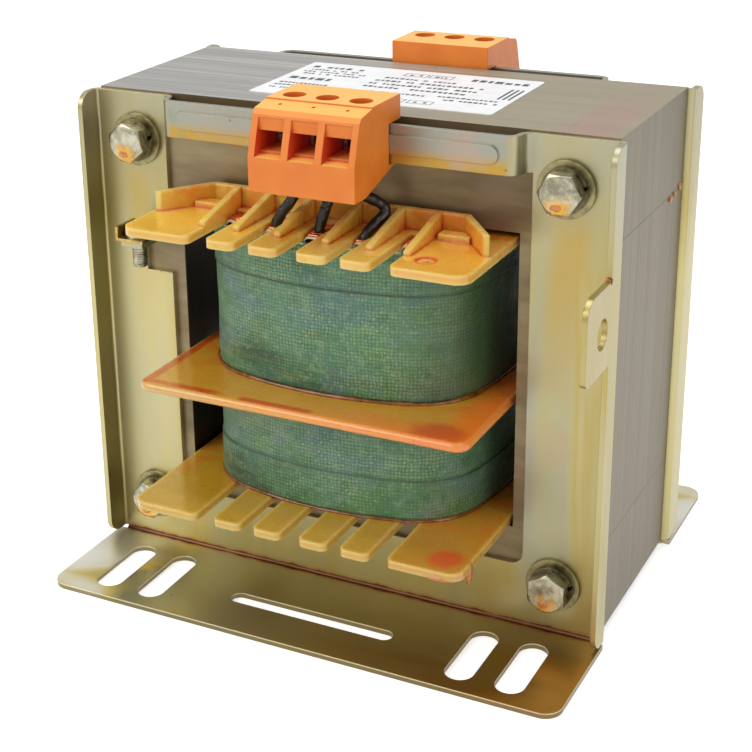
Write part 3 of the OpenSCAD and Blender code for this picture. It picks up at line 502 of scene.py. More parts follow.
def tape_laps(m, c, along, x, z):
    """Shadow line and soaked varnish at the lap of each tape, fainter on the lower one."""
    wavy = m.spread(along(0.05, 0.0, 2), -0.25, 0.25)
    for lap, dark in zip(LAPS, (0.85, 0.5)):
        d = m.abs(m.sub(m.sub(z, lap), wavy))
        c = m.mix(m.step(d, 1.3, 0.3, 0, 0.35), c, srgb(40, 76, 46))
        c = m.mix(m.mul(m.step(d, 0.30, 0.14), m.step(x, 0, 40, dark, 0.35)), c, srgb(20, 38, 24))
    return c


def tape_material():
    """Varnished glass cloth: a plain weave laid along the piece's own UV map, in millimetres."""
    m = Mat("cloth_tape", Coat_Weight=0.18, Coat_Roughness=0.35, Sheen_Weight=0.08)
    uv = m.node("UVMap", out=0, uv_map="cloth")
    s = m.t.nodes.new("ShaderNodeSeparateXYZ")
    m.t.links.new(uv, s.inputs[0])
    u, v = s.outputs[0], s.outputs[1]
    x, z = m.xyz(0), m.xyz(2)

    def along(su, sv, detail=3, rough=0.6, warp=0.0):
        """Noise drawn out along the tape's length and width."""
        return m.noise(1.0, detail, rough, m.stretch(su, sv, 1, uv), warp)

    # warp and weft threads, each crossing with a tone of its own
    jitter = m.spread(m.noise(0.4, 2), -0.28, 0.28)
    uu, vv = m.add(u, jitter), m.add(v, m.mul(jitter, 0.8))
    warp = m.abs(m.math("SINE", m.mul(uu, math.pi)))
    weft = m.abs(m.math("SINE", m.mul(vv, math.pi)))
    knot = m.math("POWER", m.mul(warp, weft), 0.8)
    over = m.math("PINGPONG", m.add(m.math("FLOOR", uu), m.math("FLOOR", vv)), 1.0)
    crossing = m.node("CombineXYZ", m.math("FLOOR", uu), m.math("FLOOR", vv), 0.0)
    thread = m.node("TexWhiteNoise", crossing, noise_dimensions="2D")
    # blotches of green, blue-green and olive in the varnish
    ground = m.ramp(along(0.03, 0.045, 3, 0.6, 0.5),
                    (0.34, srgb(38, 80, 54)), (0.44, srgb(64, 120, 78)),
                    (0.52, srgb(86, 130, 104)), (0.60, srgb(72, 128, 74)), (0.70, srgb(118, 144, 126)))
    ground = m.mix(m.step(along(0.05, 0.5), 0.48, 0.72, 0, 0.5), ground, srgb(126, 154, 104))
    ground = m.mix(m.step(along(0.045, 0.07, 2), 0.50, 0.62, 0, 0.6), ground, srgb(84, 122, 122))
    ground = m.mix(m.step(along(0.10, 0.16, 3), 0.55, 0.68, 0, 0.5), ground, srgb(92, 108, 50))
    # pale glass where the varnish is thin
    patch = m.scale(along(0.06, 0.09), 0.38, 0.62, 0.04, 0.72)
    light = m.mul(m.mul(m.step(knot, 0.4, 0.95), patch), m.add(0.26, m.mul(over, 0.22)))
    light = m.add(light, m.mul(m.step(thread, 0.55, 0.95), m.mul(m.step(knot, 0.3, 0.8), 0.16)))
    c = m.mix(light, ground, srgb(184, 196, 142))
    c = m.mix(m.mul(m.step(knot, 0.32, 0.08), 0.38), c, srgb(30, 74, 52))
    mottle = m.noise(0.5, 3, 0.7)
    c = m.mix(m.step(mottle, 0.52, 0.70, 0, 0.35), c, srgb(150, 172, 128))
    c = m.mix(m.step(mottle, 0.48, 0.32, 0, 0.40), c, srgb(40, 78, 60))
    # painted shade: warmer and darker at the right, where the coil turns into the window
    c = m.mix(m.mul(m.step(x, 16, 42), m.step(z, 60, 70, 0.25, 0.7)), c, srgb(62, 86, 34))
    c = tape_laps(m, c, along, x, z)
    soil = m.mul(m.step(m.noise(0.3, 3, 0.6), 0.66, 0.74), 0.5)
    c = m.mix(soil, c, srgb(62, 70, 40))
    m.base(c)
    m.rough(m.spread(m.noise(0.2, 2), 0.42, 0.62))
    m.bump(m.add(knot, m.mul(m.noise(1.5, 3), 0.35)), 0.5, 0.14)
    return m.m


def terminal_material():
    """Orange moulded plastic, with painted light on its top faces and painted shade in red inside the
    wire ways.
    """
    m = Mat("terminal_plastic", Subsurface_Weight=0.15, Subsurface_Scale=0.002, IOR=1.5)
    m.b.inputs["Subsurface Radius"].default_value = (1.0, 0.35, 0.1)
    n = m.noise(0.12, 3, 0.5)
    c = m.ramp(n, (0.3, srgb(230, 124, 36)), (0.7, srgb(238, 136, 46)))
    # painted light: the top faces lighter, as lit from above
    c = m.mix(m.step(m.normal(2), 0.5, 0.9, 0, 0.9), c, srgb(255, 190, 92))
    c = m.mix(m.mul(m.step(m.noise(0.9, 3, 0.6), 0.62, 0.75), 0.2), c, srgb(228, 110, 38))
    # painted shade: deeper red inside the wire funnels, where the orange plastic lights its own hollows
    c = m.mix(m.step(m.hidden(6.0), 0.66, 0.36, 0, 0.9), c, srgb(222, 52, 26))
    # painted shade in deep red on the walls between and beside the wire ways, in each block's own frame
    x, ay, z, _ = m.own_side()
    bx = m.abs(m.sub(x, FRONT_BLOCK_X))
    way_wall_shade = m.mul(m.step(m.abs(m.normal(0)), 0.6, 0.9), m.step(bx, 14.6, 14.2))
    way = m.mul(m.step(z, 130, 132), m.step(z, 140.5, 139.5))
    way_wall_shade = m.mul(way_wall_shade, m.mul(m.step(ay, 58, 56), way))
    c = m.mix(m.mul(way_wall_shade, 0.85), c, srgb(206, 50, 28))
    m.base(c)
    m.rough(m.spread(m.noise(0.6, 3), 0.34, 0.46))
    m.bump(m.noise(3.5, 2), 0.10, 0.05, bevel=0.35)
    return m.m


def bright_zinc_material(name, dark, light, stain):
    """Zinc fasteners, yellowed where the varnish has run down over them."""
    m = Mat(name, Metallic=0.92)
    x, z = m.abs(m.xyz(0)), m.xyz(2)
    n = m.noise(0.33, 3, 0.6)
    c = m.ramp(n, (0.36, dark), (0.62, light))
    # each bolt's own frame, with the stain a little below its axis
    lz = m.sub(z, m.step(z, 70, 72, BOLT_LOW, BOLT_HIGH))
    away = m.away(m.sub(x, BOLT_X), m.add(lz, 3.4))
    drop = m.step(m.sub(away, m.spread(m.noise(0.5, 2), -1.2, 1.2)), 4.2, 1.2, 0, stain)
    c = m.mix(drop, c, srgb(214, 158, 48))
    m.base(c)
    m.rough(m.spread(n, 0.26, 0.38))
    m.bump(m.noise(1.1, 2), 0.15, 0.05, bevel=0.35)
    return m.m


def plain_material(name, grain, stops, rough, relief=None, **fixed):
    """One mottled colour. grain is its noise's scale, detail and roughness, stops are its
    colours, and relief is its bump's noise scale and detail, strength and depth."""
    m = Mat(name, **fixed)
    n = m.noise(*grain)
    m.base(m.ramp(n, *stops))
    m.rough(m.spread(n, *rough))
    if relief:
        size, detail, strength, depth = relief
        m.bump(m.noise(size, detail), strength, depth)
    return m.m


def brass_material(name, dark, light):
    """Brass and tinned brass."""
    return plain_material(name, (0.6, 3, 0.6), ((0.3, dark), (0.7, light)), (0.24, 0.42),
                          (2.5, 2, 0.12, 0.05), Metallic=0.95)


def varnish_material(name, thin, thick):
    """Set dipping varnish, clear brown to orange."""
    return plain_material(name, (0.4, 3, 0.6), ((0.3, thick), (0.7, thin)), (0.1, 0.25),
                          (0.9, 2, 0.2, 0.15), Coat_Weight=0.5, Coat_Roughness=0.08,
                          Transmission_Weight=0.1, IOR=1.5)


MATS = {
    "zinc": zinc_material(), "core_steel": core_material(), "bobbin": bobbin_material(),
    "cloth_tape": tape_material(), "terminal_plastic": terminal_material(),
    "bright_zinc": bright_zinc_material("bright_zinc", srgb(128, 124, 102), srgb(190, 186, 164), 0.75),
    "tinned_brass": brass_material("tinned_brass", srgb(150, 144, 128), srgb(206, 202, 190)),
    "brass": brass_material("brass", srgb(150, 120, 62), srgb(206, 178, 110)),
    "copper_wire": plain_material(
        "copper_wire", (0.35, 3, 0.6),
        ((0.25, srgb(150, 66, 34)), (0.5, srgb(206, 112, 66)), (0.8, srgb(240, 170, 120))),
        (0.22, 0.4), (2.0, 2, 0.15, 0.05), Metallic=0.9, Coat_Weight=0.5, Coat_Roughness=0.12),
    "cage_steel": plain_material(
        "cage_steel", (0.8, 3, 0.6), ((0.3, srgb(120, 112, 100)), (0.7, srgb(196, 190, 178))),
        (0.25, 0.45), (3.0, 2, 0.15, 0.05), Metallic=0.95),
    "label": plain_material(
        "label", (0.2, 3, 0.5), ((0.3, srgb(233, 234, 236)), (0.7, srgb(244, 244, 244))),
        (0.4, 0.5), (2.5, 3, 0.12, 0.05), Coat_Weight=0.2, Coat_Roughness=0.3),
    "lead_sleeve": plain_material(
        "lead_sleeve", (0.6, 3, 0.6), ((0.35, srgb(8, 7, 7)), (0.7, srgb(30, 20, 14))),
        (0.25, 0.5), (1.3, 3, 0.5, 0.25), Coat_Weight=0.35, Coat_Roughness=0.12,
        Specular_IOR_Level=0.4),
    "insulation": plain_material(
        "insulation", (0.8, 3, 0.5), ((0.3, srgb(200, 190, 160)), (0.7, srgb(220, 210, 184))),
        (0.5, 0.65)),
}
WASHER = bright_zinc_material("washer_zinc", srgb(122, 114, 80), srgb(160, 150, 108), 0.0)
SPRING = bright_zinc_material("spring_steel", srgb(78, 72, 52), srgb(124, 116, 88), 0.0)
VARNISH_BROWN = varnish_material("varnish_brown", srgb(170, 104, 44), srgb(98, 46, 18))
VARNISH_ORANGE = varnish_material("varnish_orange", srgb(226, 150, 40), srgb(196, 96, 8))
INK = plain_material("label_ink", (1.2, 2, 0.5), ((0.3, srgb(58, 60, 66)), (0.7, srgb(88, 90, 96))),
                     (0.45, 0.6))

# Nodes with a finish of their own within their slot
OWN_FINISH = {"bolt_flat_washers": WASHER, "nut_flat_washers": WASHER, "bolt_spring_washers": SPRING}

slot_of = {s["node"]: s["material_slot"] for s in frame["record"]["subparts"]}
for name, obj in nodes.items():
    obj.data.materials.clear()
    obj.data.materials.append(OWN_FINISH.get(name, MATS[slot_of[name]]))


# ==== Pieces ====

def piece(name, verts, faces, material, slot, replaces=(), smooth=True, uv=None):
    """A mesh from points in millimetres, riding on the part, with a UV pair per face corner."""
    me = bpy.data.meshes.new(name)
    me.from_pydata([tuple(c * MM for c in v) for v in verts], [], faces)
    me.validate()
    if uv is not None:
        layer = me.uv_layers.new(name="cloth")
        layer.data.foreach_set("uv", [c for corner in uv for c in corner])
    me.polygons.foreach_set("use_smooth", [smooth] * len(me.polygons))
    me.materials.append(material)
    me.update()
    o = bpy.data.objects.new(name, me)
    bpy.context.scene.collection.objects.link(o)
    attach(o, "root")
    if replaces:
        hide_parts(*replaces)


def grid_faces(rows, cols):
    """Quads over rows of points, each row closed on itself."""
    out = []
    for i in range(rows - 1):
        a, b = i * cols, (i + 1) * cols
        for j in range(cols):
            k = (j + 1) % cols
            out.append((a + j, a + k, b + k, b + j))
    return out


def joined(name, parts, material, slot, **kw):
    """One piece from several sets of points and faces."""
    verts, faces = [], []
    for v, f in parts:
        o = len(verts)
        verts += v
        faces += [tuple(i + o for i in q) for q in f]
    piece(name, verts, faces, material, slot, **kw)


# ---- coils ----

# Coil plan: four bulging faces joined by corner arcs, as in the solids
COIL_X, COIL_Y, FACE_R, SIDE_R, CORNER_R = 41.5, 46.9, 90.0, 160.0, 20.0


def corner_centre():
    """Where the arcs of a face and a side meet a corner arc: the corner's centre."""
    ax, ay, ra = 0.0, COIL_Y - FACE_R, FACE_R - CORNER_R
    bx, by, rb = COIL_X - SIDE_R, 0.0, SIDE_R - CORNER_R
    d = math.hypot(bx - ax, by - ay)
    ux, uy = (bx - ax) / d, (by - ay) / d
    a = (ra * ra - rb * rb + d * d) / (2 * d)
    h = math.sqrt(ra * ra - a * a)
    return ax + a * ux + h * uy, ay + a * uy - h * ux


def coil_loop(grow, pitch=1.0):
    """Points (x, y, nx, ny, s) once round the coil, s being the length along the tape."""
    cx, cy = corner_centre()
    sa = math.atan2(cy, cx - (COIL_X - SIDE_R))
    fa = math.atan2(cy - (COIL_Y - FACE_R), cx)
    pi = math.pi
    arcs = [(COIL_X - SIDE_R, 0, SIDE_R, -sa, sa), (cx, cy, CORNER_R, sa, fa),
            (0, COIL_Y - FACE_R, FACE_R, fa, pi - fa), (-cx, cy, CORNER_R, pi - fa, pi - sa),
            (SIDE_R - COIL_X, 0, SIDE_R, pi - sa, pi + sa), (-cx, -cy, CORNER_R, pi + sa, pi + fa),
            (0, FACE_R - COIL_Y, FACE_R, pi + fa, 2 * pi - fa),
            (cx, -cy, CORNER_R, 2 * pi - fa, 2 * pi - sa)]
    pts, s = [], 0.0
    for ox, oy, r, a0, a1 in arcs:
        n = max(2, int(round(r * (a1 - a0) / pitch)))
        for i in range(n):
            a = a0 + (a1 - a0) * i / n
            c, q = math.cos(a), math.sin(a)
            pts.append((ox + (r + grow) * c, oy + (r + grow) * q, c, q, s + r * (a - a0)))
        s += r * (a1 - a0)
    return pts


# Thickness that the lap adds to a tape, and the height of its wrinkles and creases
LAP_T, WRINKLE, CREASE = 0.36, 0.30, 0.07


def tape_rows(z0, z1, lap_at_top):
    """Heights up a tape with the outward offset at each, round its edges and over its lap."""
    rows = [(z0 + 0.4, -1.3), (z0 + 0.02, -0.7), (z0 + 0.12, -0.15)]
    rows += [(z0 + 0.6 + k, 0.0) for k in range(int(z1 - z0 - 1.2))]
    rows += [(z1 - 0.12, -0.15), (z1 - 0.02, -0.7), (z1 - 0.4, -1.5)]
    edge, up = (z1 - LAP, 1) if lap_at_top else (z0 + LAP, -1)
    rows = [(z, g) for z, g in rows if abs(z - edge) > 0.6]
    rows = [(z, g + (LAP_T if (z > edge) == lap_at_top else 0.0)) for z, g in rows]
    step = ((-0.35, 0.0), (-0.06, 0.0), (0.06, LAP_T), (0.45, LAP_T))
    return sorted(rows + [(edge + up * h, g) for h, g in step])


def tape_piece(name, node, lap_at_top, seed):
    """Closed cloth sleeve with an overlapping band, its edges drawn in over the winding."""
    z0, z1 = span(node, "z")
    loop = coil_loop(0.0)
    cols = len(loop)
    total = loop[-1][4] + 1.0
    rows = tape_rows(z0, z1, lap_at_top)
    verts, place = [], []
    for z, g in rows:
        # wrinkles fade out towards both edges
        inside = max(min(1.0, (z - z0) / 4, (z1 - z) / 4), 0.0)
        for x, y, nx, ny, s in loop:
            wave = noise.noise(Vector((x * 0.035, y * 0.035, z * 0.06 + seed)))
            fine = noise.noise(Vector((x * 0.25, y * 0.25, z * 0.16 + seed * 3)))
            d = g + inside * (WRINKLE * wave + CREASE * fine) - 0.05
            dz = 0.35 * noise.noise(Vector((x * 0.05, y * 0.05, seed))) * inside
            verts.append((x + nx * d, y + ny * d, z + dz))
            place.append((s, z + dz))
    n = len(rows)
    faces, uv = [], []
    for i in range(n):
        a, b = i * cols, (i + 1) % n * cols
        for j in range(cols):
            k = (j + 1) % cols
            faces.append((a + j, a + k, b + k, b + j))
            far = place[a + k][0] or total
            uv += [place[a + j], (far, place[a + k][1]), (far, place[b + k][1]), place[b + j]]
    piece(name, verts, faces, MATS["cloth_tape"], "cloth_tape", (node,), uv=uv)


tape_piece("upper_cloth", "upper_tape", True, 3.1)
tape_piece("lower_cloth", "lower_tape", False, 8.7)

# Middles and widths of the gaps between the top flange's fingers, where the
# turns swell up, and how far in y the fingers' roots reach
FINGER_GAPS = ((0, 5.4), (13.0, 3.8), (-13.0, 3.8), (25.9, 5.2), (-25.9, 5.2))
FINGER_ROOT = 33.0


def between_fingers(x, y):
    """Share of its swell that a turn has here: 1 under a gap of the flange, 0 elsewhere."""
    if abs(y) < FINGER_ROOT:
        return 0.0
    best = 0.0
    for centre, width in FINGER_GAPS:
        t = abs(x - centre) / width
        if t < 0.5:
            best = max(best, min(1.0, 2.2 * math.cos(math.pi * t)))
    return best


def ring_tube(offset, z, radius, wobble=0.0, seed=0.0, pitch=2.0, swell=0.0, sides=8):
    """Round section carried round the coil at an offset from the tape's face."""
    loop = coil_loop(offset, pitch)
    verts = []
    for x, y, nx, ny, s in loop:
        w = 1 + wobble * noise.noise(Vector((x * 0.12, y * 0.12, seed)))
        up = swell * between_fingers(x, y)
        for k in range(sides):
            a = 2 * math.pi * k / sides
            verts.append((x + nx * radius * w * math.cos(a), y + ny * radius * w * math.cos(a),
                          z + up + radius * w * math.sin(a)))
    n = len(loop)
    faces = []
    for i in range(n):
        for k in range(sides):
            a, b = i * sides, ((i + 1) % n) * sides
            faces.append((a + k, b + k, b + (k + 1) % sides, a + (k + 1) % sides))
    return verts, faces


# Wire turns and the edge of the paper at the open ends of the windings: radii,
# and how far the paper and the first turn lie in from the tape's face
WIRE_R, WIRE_PITCH, WIRE_IN, WIRE_TURNS = 0.66, 1.36, 1.5, 8
PAPER_R, PAPER_IN = 0.36, 0.62
top_z = span("upper_winding", "z")[1]
low_z = span("lower_winding", "z")[0]
for name, z, swell in (("upper_turns", top_z - 0.55, 2.1), ("lower_turns", low_z + 0.55, -0.8)):
    turns = [ring_tube(-WIRE_IN - WIRE_PITCH * k, z, WIRE_R, pitch=0.7, swell=swell)
             for k in range(WIRE_TURNS)]
    joined(name, turns, MATS["copper_wire"], "copper_wire")
for name, z, swell in (("upper_paper", top_z - 0.45, 1.7), ("lower_paper", low_z + 0.45, -0.7)):
    paper = [ring_tube(-PAPER_IN, z, PAPER_R, pitch=0.7, swell=swell)]
    joined(name, paper, MATS["insulation"], "insulation")

# Set varnish round the foot of each tape
for name, node in (("upper_bead", "upper_tape"), ("lower_bead", "lower_tape")):
    z = span(node, "z")[0]
    joined(name, [ring_tube(0.1, z + 0.05, 0.55, 0.6, z)], VARNISH_BROWN, "bobbin")


# ---- leads ----

LEAD_R, LEAD_SIDES, LEAD_WOBBLE = 1.45, 20, 0.17
# How far the leads stand in front of the core's middle, at the block and at the coil
LEAD_TOP_Y, LEAD_LOW_Y = -41.4, -43.0


def tube_along(points, radius, sides, wobble=0.0, seed=0.0):
    """Closed tube of round section along the points."""
    pts = [Vector(p) for p in points]
    verts = []
    ref = Vector((1, 0, 0))
    for i, p in enumerate(pts):
        t = (pts[min(i + 1, len(pts) - 1)] - pts[max(i - 1, 0)]).normalized()
        u = ref - t * ref.dot(t)
        u.normalize()
        ref = u
        v = t.cross(u)
        for k in range(sides):
            a = 2 * math.pi * k / sides
            r = radius * (1 + wobble * noise.noise(Vector((i * 0.35, math.cos(a), seed + math.sin(a)))))
            verts.append(tuple(p + u * (r * math.cos(a)) + v * (r * math.sin(a))))
    faces = grid_faces(len(pts), sides)
    faces.append(tuple(range(sides - 1, -1, -1)))
    o = (len(pts) - 1) * sides
    faces.append(tuple(o + k for k in range(sides)))
    return verts, faces


def lead_route(a, d, bow, n=44):
    """The route of the solids' leads: straight out of each end, pushed aside between."""
    a, d, bow = Vector(a), Vector(d), Vector(bow)
    b, c = a - Vector((0, 0, 6)), d + Vector((0, 0, 6))
    out = []
    for i in range(n + 1):
        t = i / n
        p = a * (1 - t) ** 3 + b * (3 * t * (1 - t) ** 2) + c * (3 * t * t * (1 - t)) + d * t ** 3
        out.append(p + bow * (29 * t * t * (1 - t) ** 3))
    return out


def leads(name, node, block_x, rear):
    """Three sleeved leads from a terminal block down to the gaps between the fingers."""
    z0, z1 = span(node, "z")
    parts = []
    for i in range(3):
        top = (block_x + (i - 1) * POLE_PITCH, LEAD_TOP_Y, z1)
        low = ((i - 1) * FINGER_PITCH, LEAD_LOW_Y, z0)
        route = lead_route(top, low, (4, 5, 0) if i == 2 else (0, 0, 0))
        if rear:
            route = [Vector((-p.x, -p.y, p.z)) for p in route]
        parts.append(tube_along(route, LEAD_R, LEAD_SIDES, LEAD_WOBBLE, 3.0 * i))
    joined(name, parts, MATS["lead_sleeve"], "lead_sleeve", replaces=(node,))


leads("front_sleeves", "front_leads", FRONT_BLOCK_X, False)
leads("rear_sleeves", "rear_leads", REAR_BLOCK_X, True)


# ---- set varnish ----

def drop(centre, radii, seed=0.0, rows=9, cols=16):
    """A rounded drop, a little uneven."""
    verts = []
    for i in range(rows + 1):
        t = math.pi * i / rows
        for k in range(cols):
            a = 2 * math.pi * k / cols
            d = (math.sin(t) * math.cos(a), math.sin(t) * math.sin(a), math.cos(t))
            w = 1 + 0.22 * noise.noise(Vector(d) * 1.3 + Vector((seed, 0, 0)))
            verts.append(tuple(c + w * r * q for c, r, q in zip(centre, radii, d)))
    # one point at each pole in place of the first and the last row
    verts = verts[cols:-cols]
    n = len(verts)
    verts += [(centre[0], centre[1], centre[2] + h) for h in (radii[2], -radii[2])]
    faces = [q[::-1] for q in grid_faces(rows - 1, cols)]
    faces += [(n, k, (k + 1) % cols) for k in range(cols)]
    o = (rows - 2) * cols
    faces += [(n + 1, o + (k + 1) % cols, o + k) for k in range(cols)]
    return verts, faces


def both_ways(parts):
    """The parts, and the same parts turned half a turn for the rear."""
    return parts + [([(-x, -y, z) for x, y, z in v], f) for v, f in parts]


BOLTS = [(x, z) for z in (BOLT_HIGH, BOLT_LOW) for x in (-BOLT_X, BOLT_X)]
head_y = span("core_bolts", "y")[0]
heads = []
for i, (bx, bz) in enumerate(BOLTS):
    heads.append(drop((bx - 0.6, head_y + 0.02, bz - 3.1), (1.5, 0.2, 0.9), 4.0 * i))
    heads.append(drop((bx - 1.2, head_y + 1.2, bz - 5.0), (1.3, 1.1, 0.5), 4.0 * i + 2))
joined("head_drops", heads, VARNISH_ORANGE, "bobbin")

# Beads beside the upper joint on the core's side, and one in the tab's notch
side_x = span("top_i_laminations", "x")[1]
core_drops = [drop((side_x + 0.1, y, JOINT_UP + dz), (0.55, r, 1.15 * r), y)
              for y, dz, r in ((26.0, 0.2, 0.95), (21.0, -0.4, 0.6), (17.2, -1.0, 0.8))]
core_drops.append(drop((side_x + 1.0, -38.3, 106.6), (0.7, 0.45, 0.6), 9.0))
joined("side_drops", both_ways(core_drops), VARNISH_ORANGE, "bobbin")

# A run down from the corner of the bottom wing, and the bead along its edge
wing_x = span("bobbin_bottom_flange", "x")[1]
wing_y = span("bobbin_bottom_flange", "y")[0]
wing_z = span("bobbin_bottom_flange", "z")[0]
drips = [drop((wing_x - 0.5, -56.5, wing_z - 0.6), (0.9, 1.3, 3.2), 5.0),
         drop((wing_x - 6.0, wing_y + 0.6, wing_z + 0.1), (4.2, 0.8, 0.7), 6.0)]
joined("wing_drip", both_ways(drips), VARNISH_ORANGE, "bobbin")


def bend_bead():
    """Varnish that ran down the bracket and set in the foot bend."""
    by, bz, half, n = -PLATE_Y - 0.15, SHEET + 0.12, 74.5, 150
    line = [(-half + 2 * half * i / n, by, bz) for i in range(n + 1)]
    verts, faces = tube_along(line, radius=1.0, sides=10)
    out = []
    for x, y, z in verts:
        blob = noise.noise(Vector((x * 0.11, 3.0, 0.0)))
        ripple = noise.noise(Vector((x * 0.5, 7.0, 0.0)))
        size = 0.42 + 0.5 * max(0.0, blob) + 0.25 * ripple
        out.append((x, by + (y - by) * size, bz + (z - bz) * size))
    return out, faces


joined("bend_beads", both_ways([bend_bead()]), VARNISH_BROWN, "bobbin")


# ---- threads ----

def thread(start, upright, length, radius, pitch, size):
    """A helical ridge on a plain shank that runs along z, or along y, from its start."""
    around = 20
    steps = int(length / pitch * around)
    x, y, z = start
    pts = []
    for i in range(steps + 1):
        a, d = 2 * math.pi * i / around, length * i / steps
        u, v = radius * math.cos(a), radius * math.sin(a)
        pts.append((x + u, y + v, z + d) if upright else (x + u, y + d, z + v))
    return tube_along(pts, size, 6)


nut_y, end_y = span("core_nuts", "y")[1], span("core_bolts", "y")[1]
ends = [thread((bx, nut_y + 0.2, bz), upright=False, length=end_y - nut_y - 0.6,
               radius=3.0, pitch=1.0, size=0.24) for bx, bz in BOLTS]
joined("bolt_threads", ends, MATS["bright_zinc"], "bright_zinc")

earth_x, earth_y = (sum(span("earth_screw", axis)) / 2 for axis in "xy")
earth_z = span("earth_screw", "z")[0]
earth = thread((earth_x, earth_y, earth_z + 0.3), upright=True, length=6.0,
               radius=1.92, pitch=0.7, size=0.2)
joined("earth_thread", [earth], MATS["bright_zinc"], "bright_zinc")


# ---- label print: plain bars and boxes ----

# Thickness of the ink, and how far it stands above the label
INK_T, INK_UP = 0.03, 0.012


def bar(x0, y0, x1, y1, z):
    """A thin closed bar of ink with its top at z."""
    ring = [(x0, y0), (x1, y0), (x1, y1), (x0, y1)]
    verts = [(x, y, h) for h in (z - INK_T, z) for x, y in ring]
    walls = [(i, (i + 1) % 4, (i + 1) % 4 + 4, i + 4) for i in range(4)]
    return verts, [(3, 2, 1, 0), (4, 5, 6, 7)] + walls


def frame_box(x0, y0, x1, y1, w, z):
    """Four bars round a box."""
    return [bar(x0, y0, x1, y0 + w, z), bar(x0, y1 - w, x1, y1, z),
            bar(x0, y0 + w, x0 + w, y1 - w, z), bar(x1 - w, y0 + w, x1, y1 - w, z)]


def print_rows():
    """Rows of short bars, as lines of small print look from a distance."""
    rng = random.Random(5)
    z = span("rating_label", "z")[1] + INK_UP
    cx, cy = (sum(span("rating_label", axis)) / 2 for axis in "xy")
    out = []

    def row(x0, x1, y, h):
        """Bars of a letter's width with gaps for spaces."""
        x = x0
        while x < x1:
            w = rng.choice((0.7, 0.9, 1.0, 1.1, 1.3)) * h / 1.5
            if rng.random() < 0.16:
                x += 0.9 * h
                continue
            if x + w > x1:
                break
            out.append(bar(cx + x, cy + y, cx + x + w, cy + y + h * rng.choice((0.8, 1.0, 1.0)), z))
            x += w + 0.28 * h
    # start, end, place and letter height of each line: left, middle, then right
    for line in ((-33, -12, 13.5, 2.2), (-33, -15, 10.4, 1.3), (-33, -13, 7.8, 1.3),
                 (-33, -14, 5.2, 1.3), (-33, -20, -1.5, 2.8), (-33, -16, -7.0, 1.3),
                 (-33, -18, -10.0, 1.3), (-33, -14, -13.2, 1.2),
                 (-9, 15, 8.2, 1.5), (-9, 24, 4.4, 1.7), (-9, 23, 0.6, 1.7), (-9, 22, -3.2, 1.7),
                 (14, 33, 13.0, 2.6), (-6, 12, -8.4, 1.4), (15, 33, -7.4, 1.4), (18, 33, -10.6, 1.4)):
        row(*line)
    # terminal boxes along the two long edges
    box_l, box_h, box_line = 7.0, 3.6, 0.3
    for x0, y0 in ((-4.0, 12.6), (3.6, 12.6), (2.0, -16.6), (10.0, -16.6)):
        out.extend(frame_box(cx + x0, cy + y0, cx + x0 + box_l, cy + y0 + box_h, box_line, z))
        row(x0 + 1.6, x0 + 5.4, y0 + 1.0, 1.5)
    # upright bars at the right end
    for k in range(3):
        out.append(bar(cx + 30.5 + 1.5 * k, cy - 4, cx + 31.2 + 1.5 * k, cy + 8, z))
    return out


joined("label_print", print_rows(), INK, "label", smooth=False)


# ==== Floor, light and camera ====

def value_math(tree, op, a, b):
    """A Math node over two sockets, or a socket and a number."""
    n = tree.nodes.new("ShaderNodeMath")
    n.operation = op
    for sock, v in zip(n.inputs, (a, b)):
        if isinstance(v, float):
            sock.default_value = v
        else:
            tree.links.new(v, sock)
    return n.outputs[0]


def stage_floor():
    """Pale floor that keeps the shadow and looks white to the camera."""
    me = bpy.data.meshes.new("floor")
    half, gap = 6.0, 0.0002
    z = cad_box[0].z - gap
    corners = [(-half, -half, z), (half, -half, z), (half, half, z), (-half, half, z)]
    me.from_pydata(corners, [], [(0, 1, 2, 3)])
    o = bpy.data.objects.new("floor", me)
    bpy.context.scene.collection.objects.link(o)
    m = bpy.data.materials.new("floor")
    m.use_nodes = True
    t = m.node_tree
    b = t.nodes["Principled BSDF"]
    b.inputs["Base Color"].default_value = (0.86, 0.86, 0.86, 1)
    b.inputs["Roughness"].default_value = 0.9
    b.inputs["Specular IOR Level"].default_value = 0.1
    ray = t.nodes.new("ShaderNodeLightPath").outputs
    seen = value_math(t, "MAXIMUM", ray["Is Camera Ray"], ray["Is Glossy Ray"])
    seen = value_math(t, "MAXIMUM", seen, ray["Is Transmission Ray"])
    b.inputs["Emission Color"].default_value = (1, 1, 1, 1)
    t.links.new(value_math(t, "MULTIPLY", seen, 0.6), b.inputs["Emission Strength"])
    me.materials.append(m)


def background(tree, colour, strength):
    """A plain background colour for the world's shader."""
    n = tree.nodes.new("ShaderNodeBackground")
    n.inputs["Color"].default_value = (*colour, 1)
    n.inputs["Strength"].default_value = strength
    return n.outputs[0]


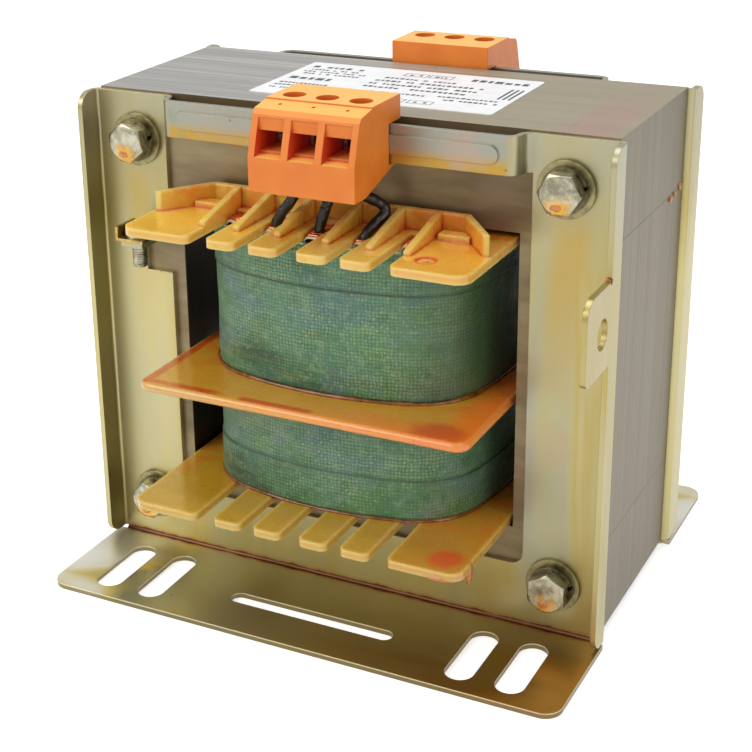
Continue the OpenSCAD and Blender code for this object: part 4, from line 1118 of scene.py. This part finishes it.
def world():
    """White to the camera, half as bright in reflections, and a soft light on the part."""
    w = bpy.data.worlds.new("studio")
    bpy.context.scene.world = w
    w.use_nodes = True
    t = w.node_tree
    t.nodes.clear()
    out = t.nodes.new("ShaderNodeOutputWorld")
    white = background(t, (1, 1, 1), 1.0)
    soft = background(t, (0.97, 0.985, 1.0), 0.35)
    ray = t.nodes.new("ShaderNodeLightPath").outputs
    seen = value_math(t, "MAXIMUM", ray["Is Camera Ray"], ray["Is Transmission Ray"])
    both = value_math(t, "MAXIMUM", seen, value_math(t, "MULTIPLY", ray["Is Glossy Ray"], 0.45))
    mix = t.nodes.new("ShaderNodeMixShader")
    for sock, v in zip(mix.inputs, (both, soft, white)):
        t.links.new(v, sock)
    t.links.new(mix.outputs[0], out.inputs[0])


def area(name, place, aim, size, watts, colour=(1, 1, 1)):
    """A rectangular light at a place in metres, turned to its aim."""
    d = bpy.data.lights.new(name, "AREA")
    d.shape = "RECTANGLE"
    d.size, d.size_y = size
    d.energy = watts
    d.color = colour
    o = bpy.data.objects.new(name, d)
    o.location = place
    o.rotation_euler = (Vector(aim) - Vector(place)).to_track_quat("-Z", "Y").to_euler()
    bpy.context.scene.collection.objects.link(o)


stage_floor()
world()
area("key", (-0.55, -0.75, 0.75), (0, 0, 0.07), (0.7, 0.5), 5.4, (1.0, 0.985, 0.96))
area("fill", (0.9, -0.45, 0.35), (0, 0, 0.07), (0.6, 0.6), 2.0)
area("top", (0.0, 0.1, 0.95), (0, 0, 0.05), (0.9, 0.7), 5.0)


def camera(place, angles, lens, shift):
    """Camera at a place in metres, with its Euler angles in degrees."""
    cam = bpy.data.cameras.new("camera")
    cam.sensor_width = 36.0
    cam.lens = lens
    cam.shift_x, cam.shift_y = shift
    cam.clip_start = 0.01
    o = bpy.data.objects.new("camera", cam)
    o.location = place
    o.rotation_euler = Euler([math.radians(a) for a in angles])
    bpy.context.scene.collection.objects.link(o)
    bpy.context.scene.camera = o


camera((0.1852, -0.3951, 0.2391), (69.58, 1.33, 27.92), 77.37, (0.098, -0.098))
bpy.context.scene.view_settings.view_transform = "Standard"
